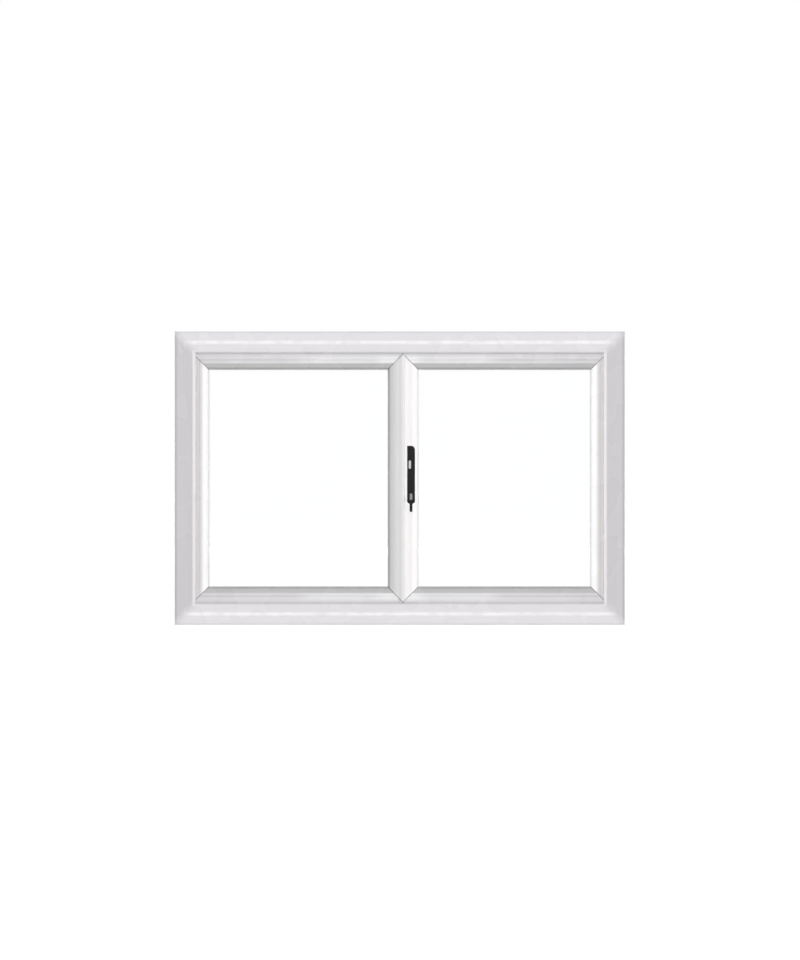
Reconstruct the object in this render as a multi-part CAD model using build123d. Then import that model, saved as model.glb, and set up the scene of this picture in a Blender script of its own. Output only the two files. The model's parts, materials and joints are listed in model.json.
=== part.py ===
from build123d import *
import math
import os

# White casement window seen from the room: a fixed left leaf, and a right sash that opens outdoors.
# X runs to the right, Y towards outdoors and Z up. The origin is the middle of the sill's underside.

# Outer frame
FRAME_WIDTH = 1200.0
FRAME_HEIGHT = 782.0
FRAME_DEPTH = 70.0
JAMB_FACE = 56.0
RAIL_FACE = 58.0
NIB_THICK = 12.0
NIB_ROUND = 5.0
CROWN_RADIUS = 210.0
LEAF_LAP = 8.0
EDGE_GAP = 4.0
SEAL_GAP = 3.0
SEAL_CLEAR = 0.3
SEAL_WIDTH = 5.0
SEAL_INSET = 1.0
OVERCUT = 1.0
FIXING_RADIUS = 5.0
FIXING_SPACING = 300.0
FIXING_DEPTH = 5.0
DRAIN_LENGTH = 30.0
DRAIN_HEIGHT = 5.0
DRAIN_DEPTH = 8.0
DRAIN_INSET = 220.0
DRAIN_RISE = 14.0

# Leaves: widths from the sight edge to the leaf's edge, and the section they share
LEAF_FACE = 50.0
STILE_FACE = 41.0
MEETING_FACE = 31.0
LOCK_FACE = 42.0
MEETING_EDGE = 0.0
MEETING_GAP = 7.0
EDGE_ROUND = 1.5
LEG_THICK = 8.0
LEG_BEVEL = 4.0
LEG_SETBACK = 3.0
REBATE = 10.0
SLOPE_START = 15.0
SLOPE_ANGLE = 35.0
QUIRK_AT = 25.0
QUIRK_WIDTH = 3.0
QUIRK_DEPTH = 1.2
BEAD_EDGE = 4.0
BEAD_NOSE = 2.0
BEAD_ROUND = 1.5

# Sealed glass unit and what holds it
PANE_THICK = 4.0
PANE_GAP = 16.0
GLASS_EDGE_GAP = 3.0
GASKET_THICK = 3.0
GASKET_LIP = 1.5
GASKET_REACH = 6.5
EDGE_SEAL_WIDTH = 3.0
SPACER_INSET = 0.5
BLOCK_LENGTH = 80.0
BLOCK_INSET = 115.0

# Screws and the packers of the fixed leaf
SCREW_RADIUS = 2.0
SCREW_HEAD_RADIUS = 4.0
SCREW_HEAD_HEIGHT = 2.0
SCREW_CLEAR = 0.05
SCREW_SIDES = 8
SMALL_SCREW_RADIUS = 1.6
SMALL_HEAD_RADIUS = 2.9
SMALL_HEAD_HEIGHT = 1.3
PLATE_SCREW_LENGTH = 14.0
LEAF_SCREW_INSET = 150.0
LEAF_SCREW_BITE = 25.0
PACKER_LENGTH = 40.0
PACKER_WIDTH = 30.0

# Astragal that covers the meeting joint from the room side
ASTRAGAL_LAP = 7.5
ASTRAGAL_RISE = 14.0
ASTRAGAL_FALL = 4.0
ASTRAGAL_DROP = 7.0
ASTRAGAL_FOOT = 1.5
ASTRAGAL_BULGE = 3.0
ASTRAGAL_SEAL_WIDTH = 3.5
ASTRAGAL_BITE = 4.0
ASTRAGAL_FLANGE = 2.0

# Butt hinges on the outdoor faces
HINGE_INSET = 110.0
HINGE_HEIGHT = 75.0
HINGE_LEAF_WIDTH = 34.0
HINGE_LEAF_THICK = 2.5
HINGE_LEAF_ROUND = 2.5
HINGE_STANDOFF = 5.0
KNUCKLE_COUNT = 3
KNUCKLE_RADIUS = 5.0
KNUCKLE_CLEAR = 0.4
KNUCKLE_GAP = 0.4
PIN_RADIUS = 2.5
PIN_CLEAR = 0.05
PIN_HEAD_RADIUS = 4.2
PIN_HEAD_HEIGHT = 2.0
HINGE_SCREW_COUNT = 3
HINGE_SCREW_PITCH = 25.0
HINGE_SCREW_INSET = 11.0
HINGE_SCREW_LENGTH = 25.0

# Lock in the edge of the sash
BACKSET = 23.3
PIVOT_HEIGHT = 334.5
PINION_TEETH = 10
MODULE = 1.1
PINION_ADDENDUM = 0.9
RACK_ADDENDUM = 0.6
TOOTH_ROOT = 1.2
PRESSURE_ANGLE = 20.0
BACKLASH = 0.3
FLANK_STEPS = 2
SPINDLE_SIDE = 5.0
JOURNAL_RADIUS = 4.5
JOURNAL_CLEAR = 0.05
SPINDLE_ROOM = 1.0
LOCK_DEPTH = 8.0
GEAR_WIDTH = 8.0
GEAR_SIDE_GAP = 0.4
CHEEK_THICK = 2.5
CASE_HEIGHT = 52.0
CASE_WEB = 1.1
POCKET_CLEAR = 0.3
FACEPLATE_THICK = 2.2
FACEPLATE_WIDTH = 18.0
FACEPLATE_END = 30.0
FACEPLATE_SCREW_INSET = 10.0
ROD_THICK = 3.0
ROD_WIDTH = 10.0
ROD_CLEAR = 0.4
ROD_END = 20.0
RACK_HEIGHT = 32.0
CAM_SPACING = 380.0
CAM_RADIUS = 4.0
CAM_STEM_RADIUS = 2.5
CAM_HEAD = 5.3
CAM_CLEAR = 0.4
KEEP_WIDTH = 20.0
KEEP_HEIGHT = 38.0
KEEP_THICK = 1.5
KEEP_LIP = 3.3
KEEP_LIP_THICK = 3.6
KEEP_LIP_HEIGHT = 12.0
KEEP_SCREW_PITCH = 18.0
KEEP_SCREW_INSET = 3.9

# Handle on the room face of the lock stile
BASE_WIDTH = 14.0
BASE_THICK = 6.0
BASE_ABOVE = 35.0
BASE_BELOW = 9.0
BASE_ROUND = 2.0
TAIL_WIDTH = 7.7
TAIL_BELOW = 33.5
BASE_SCREW_ABOVE = 26.0
BASE_SCREW_BELOW = 24.0
BASE_SCREW_LENGTH = 22.0
LEVER_WIDTH = 21.0
LEVER_ABOVE = 142.5
HUB_RADIUS = 12.5
LEVER_CLEAR = 0.3
HUB_THICK = 14.0
HUB_ABOVE = 18.5
NECK_LENGTH = 26.0
GRIP_THICK = 14.0
GRIP_OUT = 8.0
GRIP_ROUND = 10.5
GRIP_EDGE = 1.5
GRIP_SOFT = 4.0
NOTCH_DEPTH = 1.2
SOCKET_DEPTH = 10.0
CAP_RISE = 7.0
CAP_WIDTH = 7.0
CAP_HEIGHT = 17.5
CAP_DEPTH = 2.5
CAP_PROUD = 0.6
BUTTON_WIDTH = 6.2
BUTTON_HEIGHT = 22.0
BUTTON_ABOVE = 92.5
BUTTON_ASIDE = -3.3
BUTTON_PROUD = 1.4
BUTTON_DEPTH = 4.0
BUTTON_TRAVEL = 1.0
BUTTON_CLEAR = 0.3

# Depths shared by every piece, from the room face to the outdoor face
Y_ROOM = -FRAME_DEPTH / 2
Y_OUT = FRAME_DEPTH / 2
Y_NIB = Y_ROOM + NIB_THICK
Y_LEAF = Y_NIB + SEAL_GAP
Y_LEG = Y_OUT - LEG_THICK
Y_GLASS_OUT = Y_LEG - GASKET_THICK
Y_GLASS_IN = Y_GLASS_OUT - 2 * PANE_THICK - PANE_GAP
Y_BEAD = Y_GLASS_IN - GASKET_THICK
Y_GLASS_MID = (Y_GLASS_IN + Y_GLASS_OUT) / 2

BOX_AT = LEAF_LAP + EDGE_GAP
GLASS_REACH = REBATE - GLASS_EDGE_GAP

SIDES = ("left", "right", "bottom", "top")
OUTWARD = {"left": (-1, 0, 0), "right": (1, 0, 0), "bottom": (0, 0, -1), "top": (0, 0, 1)}
ALONG = {"left": (0, 0, -1), "right": (0, 0, 1), "bottom": (1, 0, 0), "top": (-1, 0, 0)}

nodes = {}


class Rect:
    """Upright rectangle in the window's plane."""

    def __init__(self, left, bottom, right, top):
        self.left = left
        self.bottom = bottom
        self.right = right
        self.top = top
        self.width = right - left
        self.height = top - bottom
        self.middle_x = (left + right) / 2
        self.middle_z = (bottom + top) / 2

    def grown(self, by):
        return Rect(self.left - by, self.bottom - by, self.right + by, self.top + by)

    def corners(self):
        low = ((self.left, self.bottom), (self.right, self.bottom))
        high = ((self.right, self.top), (self.left, self.top))
        return low + high


def outline(*corners):
    """Closed face through its corners. A third number rounds that corner."""
    count = len(corners)
    turns = []
    for i, corner in enumerate(corners):
        here = Vector(corner[0], corner[1])
        if len(corner) < 3:
            turns.append((here, None, here))
            continue
        radius = corner[2]
        before = (Vector(*corners[i - 1][:2]) - here).normalized()
        after = (Vector(*corners[(i + 1) % count][:2]) - here).normalized()
        inward = (before + after).normalized()
        half = math.radians(before.get_angle(after) / 2)
        middle = here + inward * (radius / math.sin(half) - radius)
        trim = radius / math.tan(half)
        turns.append((here + before * trim, middle, here + after * trim))
    edges = []
    for i, (start, middle, stop) in enumerate(turns):
        if middle is not None:
            edges.append(ThreePointArc(start, middle, stop))
        edges.append(Line(stop, turns[(i + 1) % count][0]))
    return make_face(edges)


def block(low, high):
    """Upright box between two opposite corners."""
    size = [b - a for a, b in zip(low, high)]
    centre = [(a + b) / 2 for a, b in zip(low, high)]
    return Pos(*centre) * Box(*size)


def slab(rect, near, far):
    return block((rect.left, near, rect.bottom), (rect.right, far, rect.top))


def band(sight, inner, outer, near, far):
    """Rectangular ring round the sight opening, between two depths."""
    return slab(sight.grown(outer), near, far) - slab(sight.grown(inner), near - OVERCUT, far + OVERCUT)


def rod_between(start, direction, length, radius):
    """Round bar that starts at a point and runs along a direction."""
    plane = Plane(start, z_dir=direction)
    return extrude(plane * Circle(radius), amount=length)


def screw(point, direction, length, shank, head, head_height, clear=0.0):
    """Countersunk screw with flat facets from the middle of its head, or its hole when given a clearance."""
    wide = head + clear
    narrow = shank + clear
    stop = length + clear
    side = outline(
        (-wide, 0),
        (wide, 0),
        (narrow, head_height),
        (narrow, stop),
        (-narrow, stop),
        (-narrow, head_height),
    )
    strip = extrude(Plane.XZ * side, amount=2 * head, both=True)
    body = strip
    for i in range(1, SCREW_SIDES // 2):
        body &= Rot(0, 0, i * 360 / SCREW_SIDES) * strip
    return Plane(point, z_dir=direction) * body


def wood_screw(point, direction, length, clear=0.0):
    return screw(point, direction, length, SCREW_RADIUS, SCREW_HEAD_RADIUS, SCREW_HEAD_HEIGHT, clear)


def small_screw(point, direction, length, clear=0.0):
    return screw(point, direction, length, SMALL_SCREW_RADIUS, SMALL_HEAD_RADIUS, SMALL_HEAD_HEIGHT, clear)


def group(solids):
    return Compound(children=[solid.solid() for solid in solids])


def mitre_wedge(side, sight, reach):
    """Region of the window's plane that belongs to one side, with ends at 45 degrees."""
    far = sight.grown(reach)
    inner = sight.corners()
    outer = far.corners()
    first = ("bottom", "right", "top", "left").index(side)
    second = (first + 1) % 4
    corners = (inner[first], inner[second], outer[second], outer[first])
    return extrude(Plane.XZ * outline(*corners), amount=FRAME_DEPTH, both=True)


def member(side, sight, outer, profile):
    """Mitred length of a profile whose first axis runs outward from the sight edge."""
    starts = {
        "left": (sight.left, 0, outer.top),
        "right": (sight.right, 0, outer.bottom),
        "bottom": (outer.left, 0, sight.bottom),
        "top": (outer.right, 0, sight.top),
    }
    length = outer.height if side in ("left", "right") else outer.width
    plane = Plane(starts[side], x_dir=OUTWARD[side], z_dir=ALONG[side])
    bar = extrude(plane * profile, amount=length, dir=ALONG[side])
    reach = max(outer.right - sight.right, sight.left - outer.left, sight.bottom - outer.bottom)
    return bar & mitre_wedge(side, sight, reach + OVERCUT)


def slope_depth(across):
    """Depth of the sloping room face at a distance from the sight edge."""
    return Y_LEAF + (SLOPE_START - across) * math.tan(math.radians(SLOPE_ANGLE))


def crown_point(across):
    """Point on the frame's gently crowned room face. It is highest along the middle of the rails."""
    run = across - RAIL_FACE / 2
    return (across, Y_ROOM + CROWN_RADIUS - math.sqrt(CROWN_RADIUS**2 - run**2))


def frame_profile(face):
    """Frame section: a box with a crowned face and a nib that covers the leaf's edge on the room side."""
    lip = crown_point(0)
    rim = crown_point(face)
    path = [rim, (face, Y_OUT), (BOX_AT, Y_OUT), (BOX_AT, Y_NIB), (0, Y_NIB), lip]
    edges = [Line(start, stop) for start, stop in zip(path, path[1:])]
    edges.append(ThreePointArc(lip, crown_point(face / 2), rim))
    profile = make_face(edges)
    for corner, radius in ((lip, NIB_ROUND), (rim, EDGE_ROUND), (path[1], EDGE_ROUND), (path[4], EDGE_ROUND)):
        profile = fillet(profile.vertices().sort_by_distance(corner)[0], radius)
    return profile


def leaf_profile(face):
    """Leaf section: a box with an outdoor glazing leg and a sloping room face."""
    return outline(
        (LEG_SETBACK, Y_LEG),
        (LEG_SETBACK, Y_OUT - LEG_BEVEL),
        (LEG_SETBACK + LEG_BEVEL, Y_OUT),
        (face, Y_OUT, EDGE_ROUND),
        (face, Y_LEAF, EDGE_ROUND),
        (QUIRK_AT + QUIRK_WIDTH / 2, Y_LEAF),
        (QUIRK_AT, Y_LEAF + QUIRK_DEPTH),
        (QUIRK_AT - QUIRK_WIDTH / 2, Y_LEAF),
        (SLOPE_START, Y_LEAF),
        (REBATE, slope_depth(REBATE)),
        (REBATE, Y_LEG),
    )


def bead_profile():
    """Glazing bead that carries the leaf's slope on and ends in a steep edge."""
    return outline(
        (REBATE, slope_depth(REBATE)),
        (BEAD_EDGE, slope_depth(BEAD_EDGE), BEAD_ROUND),
        (0, Y_BEAD - BEAD_NOSE),
        (0, Y_BEAD),
        (REBATE, Y_BEAD),
    )


# Rectangles that set where everything lies
frame_outer = Rect(-FRAME_WIDTH / 2, 0, FRAME_WIDTH / 2, FRAME_HEIGHT)
nib = Rect(
    frame_outer.left + JAMB_FACE,
    frame_outer.bottom + RAIL_FACE,
    frame_outer.right - JAMB_FACE,
    frame_outer.top - RAIL_FACE,
)
leaf_zone = nib.grown(LEAF_LAP)
box_zone = nib.grown(BOX_AT)
lock_edge = MEETING_EDGE + MEETING_GAP
fixed_outer = Rect(leaf_zone.left, leaf_zone.bottom, MEETING_EDGE, leaf_zone.top)
sash_outer = Rect(lock_edge, leaf_zone.bottom, leaf_zone.right, leaf_zone.top)
fixed_faces = {"left": STILE_FACE, "right": MEETING_FACE, "bottom": LEAF_FACE, "top": LEAF_FACE}
sash_faces = {"left": LOCK_FACE, "right": STILE_FACE, "bottom": LEAF_FACE, "top": LEAF_FACE}


def sight_of(outer, faces):
    return Rect(
        outer.left + faces["left"],
        outer.bottom + faces["bottom"],
        outer.right - faces["right"],
        outer.top - faces["top"],
    )


fixed_sight = sight_of(fixed_outer, fixed_faces)
sash_sight = sight_of(sash_outer, sash_faces)


def make_frame():
    """Four mitred members and the seal behind their nib."""
    names = dict(zip(SIDES, ("frame_left_jamb", "frame_right_jamb", "frame_sill", "frame_head")))
    for side in SIDES:
        face = JAMB_FACE if side in ("left", "right") else RAIL_FACE
        nodes[names[side]] = member(side, nib, frame_outer, frame_profile(face))
    for name, x, direction in (
        ("frame_left_jamb", frame_outer.left, (1, 0, 0)),
        ("frame_right_jamb", frame_outer.right, (-1, 0, 0)),
    ):
        for z in (-FIXING_SPACING / 2, FIXING_SPACING / 2):
            start = (x, FIXING_DEPTH, frame_outer.middle_z + z)
            nodes[name] -= rod_between(start, direction, JAMB_FACE, FIXING_RADIUS)
    for x in (frame_outer.left + DRAIN_INSET, frame_outer.right - DRAIN_INSET):
        low = (x - DRAIN_LENGTH / 2, Y_OUT - DRAIN_DEPTH, DRAIN_RISE)
        high = (x + DRAIN_LENGTH / 2, Y_OUT + OVERCUT, DRAIN_RISE + DRAIN_HEIGHT)
        nodes["frame_sill"] -= block(low, high)
    seal_outer = SEAL_INSET + SEAL_WIDTH
    nodes["frame_weather_seal"] = band(nib, SEAL_INSET, seal_outer, Y_NIB, Y_LEAF - SEAL_CLEAR)


def make_leaf(prefix, outer, sight, faces, names):
    """Mitred leaf with its beads, sealed glass unit, gaskets and setting blocks."""
    for side in SIDES:
        nodes[prefix + names[side]] = member(side, sight, outer, leaf_profile(faces[side]))
        nodes[prefix + side + "_bead"] = member(side, sight, sight.grown(REBATE), bead_profile())
    glass = sight.grown(GLASS_REACH)
    nodes[prefix + "inner_pane"] = slab(glass, Y_GLASS_IN, Y_GLASS_IN + PANE_THICK)
    nodes[prefix + "outer_pane"] = slab(glass, Y_GLASS_OUT - PANE_THICK, Y_GLASS_OUT)
    cavity_near = Y_GLASS_IN + PANE_THICK
    cavity_far = Y_GLASS_OUT - PANE_THICK
    spacer_outer = GLASS_REACH - EDGE_SEAL_WIDTH
    nodes[prefix + "spacer_bar"] = band(sight, SPACER_INSET, spacer_outer, cavity_near, cavity_far)
    nodes[prefix + "edge_seal"] = band(sight, spacer_outer, GLASS_REACH, cavity_near, cavity_far)
    inner_gasket = band(sight, -GASKET_LIP, GASKET_REACH, Y_BEAD, Y_GLASS_IN)
    outer_gasket = band(sight, LEG_SETBACK - GASKET_LIP, GASKET_REACH, Y_GLASS_OUT, Y_LEG)
    nodes[prefix + "gaskets"] = group([inner_gasket, outer_gasket])
    blocks = []
    for x in (sight.left + BLOCK_INSET, sight.right - BLOCK_INSET):
        low = (x - BLOCK_LENGTH / 2, Y_GLASS_IN, sight.bottom - REBATE)
        high = (x + BLOCK_LENGTH / 2, Y_GLASS_OUT, glass.bottom)
        blocks.append(block(low, high))
    nodes[prefix + "setting_blocks"] = group(blocks)


def fix_left_leaf():
    """Packers between the fixed leaf and the frame, with the screws that pass through them."""
    screws = []
    packers = []
    upright = (fixed_outer.bottom + LEAF_SCREW_INSET, fixed_outer.top - LEAF_SCREW_INSET)
    level = (fixed_outer.left + LEAF_SCREW_INSET, fixed_outer.right - LEAF_SCREW_INSET)
    floor = fixed_sight.grown(REBATE)
    places = [("left", (floor.left, Y_GLASS_MID, z)) for z in upright]
    places += [("bottom", (x, Y_GLASS_MID, floor.bottom)) for x in level]
    places += [("top", (x, Y_GLASS_MID, floor.top)) for x in level]
    leaf_names = {"left": "fixed_jamb_stile", "bottom": "fixed_bottom_rail", "top": "fixed_top_rail"}
    frame_names = {"left": "frame_left_jamb", "bottom": "frame_sill", "top": "frame_head"}
    for side, point in places:
        wall = fixed_faces[side] - REBATE
        length = wall + EDGE_GAP + LEAF_SCREW_BITE
        hole = wood_screw(point, OUTWARD[side], length, SCREW_CLEAR)
        screws.append(wood_screw(point, OUTWARD[side], length))
        nodes[leaf_names[side]] -= hole
        nodes[frame_names[side]] -= hole
        plane = Plane(point, x_dir=ALONG[side], z_dir=OUTWARD[side])
        packer = plane * Pos(0, 0, wall + EDGE_GAP / 2) * Box(PACKER_LENGTH, PACKER_WIDTH, EDGE_GAP)
        packers.append(packer - hole)
    nodes["fixed_leaf_screws"] = group(screws)
    nodes["fixed_leaf_packers"] = group(packers)


def make_astragal():
    """Flange on the fixed meeting stile that laps over the sash, under a moulding with pointed ends."""
    foot = fixed_sight.right + SLOPE_START
    edge = lock_edge + ASTRAGAL_LAP
    crest = edge - ASTRAGAL_FALL
    ridge = (crest, Y_LEAF - ASTRAGAL_RISE)
    brow = (edge, ridge[1] + ASTRAGAL_DROP)
    toe = (foot, Y_LEAF - ASTRAGAL_FOOT)
    chord = Vector(*ridge) - Vector(*toe)
    outside = Vector(chord.Y, -chord.X).normalized()
    crown = (Vector(*ridge) + Vector(*toe)) / 2 + outside * ASTRAGAL_BULGE
    lap_back = Y_LEAF - SEAL_GAP
    edges = [
        Line((foot, Y_LEAF), (MEETING_EDGE, Y_LEAF)),
        Line((MEETING_EDGE, Y_LEAF), (MEETING_EDGE, lap_back)),
        Line((MEETING_EDGE, lap_back), (edge, lap_back)),
        Line((edge, lap_back), brow),
        Line(brow, ridge),
        ThreePointArc(ridge, crown, toe),
        Line(toe, (foot, Y_LEAF)),
    ]
    start = Plane((0, 0, nib.bottom), x_dir=(1, 0, 0), z_dir=(0, 0, 1))
    bar = extrude(start * make_face(edges), amount=nib.height, dir=(0, 0, 1))
    ends = outline(
        (foot, nib.bottom + crest - foot),
        (crest, nib.bottom),
        (edge, nib.bottom + ASTRAGAL_FALL),
        (edge, nib.top - ASTRAGAL_FALL),
        (crest, nib.top),
        (foot, nib.top - crest + foot),
    )
    moulding = bar & extrude(Plane.XZ * ends, amount=FRAME_DEPTH, both=True)
    flange_left = MEETING_EDGE - ASTRAGAL_BITE
    flange_front = lap_back - ASTRAGAL_FLANGE
    flange = block((flange_left, flange_front, nib.bottom), (edge, lap_back, nib.top))
    flange += block((flange_left, flange_front, nib.bottom), (MEETING_EDGE, Y_LEAF, nib.top))
    nodes["meeting_astragal"] = moulding + flange
    seal_left = edge - SEAL_INSET - ASTRAGAL_SEAL_WIDTH
    low = (seal_left, lap_back, nib.bottom)
    high = (edge - SEAL_INSET, Y_LEAF - SEAL_CLEAR, nib.top)
    nodes["astragal_seal"] = block(low, high)


hinge_x = (sash_outer.right + box_zone.right) / 2
hinge_y = Y_OUT + HINGE_STANDOFF


def hinge_leaf(middle_z, towards, first):
    """One leaf of a butt hinge. It carries every second knuckle and clears the other leaf's."""
    plate_near = EDGE_GAP / 2 + KNUCKLE_CLEAR
    plate_far = plate_near + HINGE_LEAF_WIDTH
    half = HINGE_HEIGHT / 2
    plate = outline(
        (hinge_x + towards * plate_near, middle_z - half),
        (hinge_x + towards * plate_far, middle_z - half, HINGE_LEAF_ROUND),
        (hinge_x + towards * plate_far, middle_z + half, HINGE_LEAF_ROUND),
        (hinge_x + towards * plate_near, middle_z + half),
    )
    face = Plane((0, Y_OUT, 0), x_dir=(1, 0, 0), z_dir=(0, -1, 0))
    leaf = extrude(face * plate, amount=HINGE_LEAF_THICK, dir=(0, 1, 0))
    pitch = HINGE_HEIGHT / KNUCKLE_COUNT
    for i in range(KNUCKLE_COUNT):
        bottom = middle_z - half + i * pitch
        if i % 2 == first:
            start = (hinge_x, hinge_y, bottom + KNUCKLE_GAP / 2)
            leaf += rod_between(start, (0, 0, 1), pitch - KNUCKLE_GAP, KNUCKLE_RADIUS)
        else:
            start = (hinge_x, hinge_y, bottom - KNUCKLE_GAP / 2)
            leaf -= rod_between(start, (0, 0, 1), pitch + KNUCKLE_GAP, KNUCKLE_RADIUS + KNUCKLE_CLEAR)
    bore = (hinge_x, hinge_y, middle_z - HINGE_HEIGHT)
    leaf -= rod_between(bore, (0, 0, 1), 2 * HINGE_HEIGHT, PIN_RADIUS + PIN_CLEAR)
    return leaf


def make_hinges():
    """Two butt hinges: the frame leaf has the end knuckles, the sash leaf the middle one and the pin."""
    frame_screws = []
    sash_screws = []
    places = (
        ("lower_hinge", sash_outer.bottom + HINGE_INSET),
        ("upper_hinge", sash_outer.top - HINGE_INSET),
    )
    for name, z in places:
        frame_leaf = hinge_leaf(z, 1, 0)
        sash_leaf = hinge_leaf(z, -1, 1)
        pin_bottom = (hinge_x, hinge_y, z - HINGE_HEIGHT / 2)
        pin_top = (hinge_x, hinge_y, z + HINGE_HEIGHT / 2)
        pin = rod_between(pin_bottom, (0, 0, 1), HINGE_HEIGHT, PIN_RADIUS)
        pin += rod_between(pin_top, (0, 0, 1), PIN_HEAD_HEIGHT, PIN_HEAD_RADIUS)
        screw_y = Y_OUT + HINGE_LEAF_THICK
        across = EDGE_GAP / 2 + KNUCKLE_CLEAR + HINGE_LEAF_WIDTH - HINGE_SCREW_INSET
        for i in range(HINGE_SCREW_COUNT):
            screw_z = z + (i - (HINGE_SCREW_COUNT - 1) / 2) * HINGE_SCREW_PITCH
            frame_point = (hinge_x + across, screw_y, screw_z)
            sash_point = (hinge_x - across, screw_y, screw_z)
            frame_hole = wood_screw(frame_point, (0, -1, 0), HINGE_SCREW_LENGTH, SCREW_CLEAR)
            sash_hole = wood_screw(sash_point, (0, -1, 0), HINGE_SCREW_LENGTH, SCREW_CLEAR)
            frame_screws.append(wood_screw(frame_point, (0, -1, 0), HINGE_SCREW_LENGTH))
            sash_screws.append(wood_screw(sash_point, (0, -1, 0), HINGE_SCREW_LENGTH))
            frame_leaf -= frame_hole
            sash_leaf -= sash_hole
            nodes["frame_right_jamb"] -= frame_hole
            nodes["sash_hinge_stile"] -= sash_hole
        nodes[name + "_frame_leaf"] = frame_leaf
        nodes[name + "_sash_leaf"] = sash_leaf
        nodes[name + "_pin"] = pin
    nodes["hinge_frame_screws"] = group(frame_screws)
    nodes["hinge_sash_screws"] = group(sash_screws)


# Lock geometry, measured from the sash's lock edge
pivot_x = lock_edge + BACKSET
pitch_radius = PINION_TEETH * MODULE / 2
rack_line = pivot_x - pitch_radius
rod_travel = pitch_radius * math.pi / 2
rod_near = lock_edge + FACEPLATE_THICK + ROD_CLEAR
rod_far = rod_near + ROD_THICK
case_near = rod_far + ROD_CLEAR
case_far = lock_edge + LOCK_FACE - REBATE - CASE_WEB
gear_half = GEAR_WIDTH / 2
cheek_inner = gear_half + GEAR_SIDE_GAP
cheek_outer = cheek_inner + CHEEK_THICK
pocket_half = cheek_outer + POCKET_CLEAR
cam_heights = (sash_outer.middle_z - CAM_SPACING / 2, sash_outer.middle_z + CAM_SPACING / 2)
rod_bottom = cam_heights[0] - ROD_END
rod_top = cam_heights[1] + ROD_END
plate_bottom = rod_bottom - FACEPLATE_END
plate_top = rod_top + rod_travel + FACEPLATE_END


def involute_point(angle, base):
    """Point on the involute of a base circle after unrolling an angle."""
    x = base * (math.cos(angle) + angle * math.sin(angle))
    y = base * (math.sin(angle) - angle * math.cos(angle))
    return math.hypot(x, y), math.atan2(y, x)


def pinion_outline():
    """Pinion section with involute flanks. A tooth gap faces the rack's tooth at rest."""
    base = pitch_radius * math.cos(math.radians(PRESSURE_ANGLE))
    tip = pitch_radius + PINION_ADDENDUM
    root = pitch_radius - TOOTH_ROOT
    pitch_roll = math.tan(math.radians(PRESSURE_ANGLE))
    tip_roll = math.sqrt((tip / base) ** 2 - 1)
    pitch_turn = involute_point(pitch_roll, base)[1]
    half_tooth = (math.pi * MODULE / 2 - BACKLASH) / 2 / pitch_radius
    flank = [(root, half_tooth + pitch_turn)]
    for i in range(FLANK_STEPS + 1):
        radius, turn = involute_point(tip_roll * i / FLANK_STEPS, base)
        flank.append((radius, half_tooth + pitch_turn - turn))
    points = []
    for tooth in range(PINION_TEETH):
        middle = (tooth + 0.5) * 2 * math.pi / PINION_TEETH
        rising = [(radius, middle - turn) for radius, turn in flank]
        falling = [(radius, middle + turn) for radius, turn in reversed(flank)]
        for radius, turn in rising + falling:
            points.append((radius * math.cos(turn), radius * math.sin(turn)))
    return outline(*points)


def rack_outline(middle_z, height):
    """Rack section from the rod to its teeth, with a tooth at the pivot's height."""
    pitch = math.pi * MODULE
    slant = math.tan(math.radians(PRESSURE_ANGLE))
    root = rack_line - TOOTH_ROOT
    tip = rack_line + RACK_ADDENDUM
    half_pitch = (pitch / 2 - BACKLASH) / 2
    half_root = half_pitch + TOOTH_ROOT * slant
    half_tip = half_pitch - RACK_ADDENDUM * slant
    bottom = middle_z - height / 2
    top = middle_z + height / 2
    points = [(rod_far, top), (rod_far, bottom), (root, bottom)]
    first = math.ceil((bottom + half_root - PIVOT_HEIGHT) / pitch)
    last = math.floor((top - half_root - PIVOT_HEIGHT) / pitch)
    for tooth in range(first, last + 1):
        z = PIVOT_HEIGHT + tooth * pitch
        points += [(root, z - half_root), (tip, z - half_tip), (tip, z + half_tip), (root, z + half_root)]
    points.append((root, top))
    return outline(*points)


def at_depth(face, near, far):
    """Face drawn in the window's plane and thickened between two depths."""
    plane = Plane((0, near, 0), x_dir=(1, 0, 0), z_dir=(0, -1, 0))
    return extrude(plane * face, amount=far - near, dir=(0, 1, 0))


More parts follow.
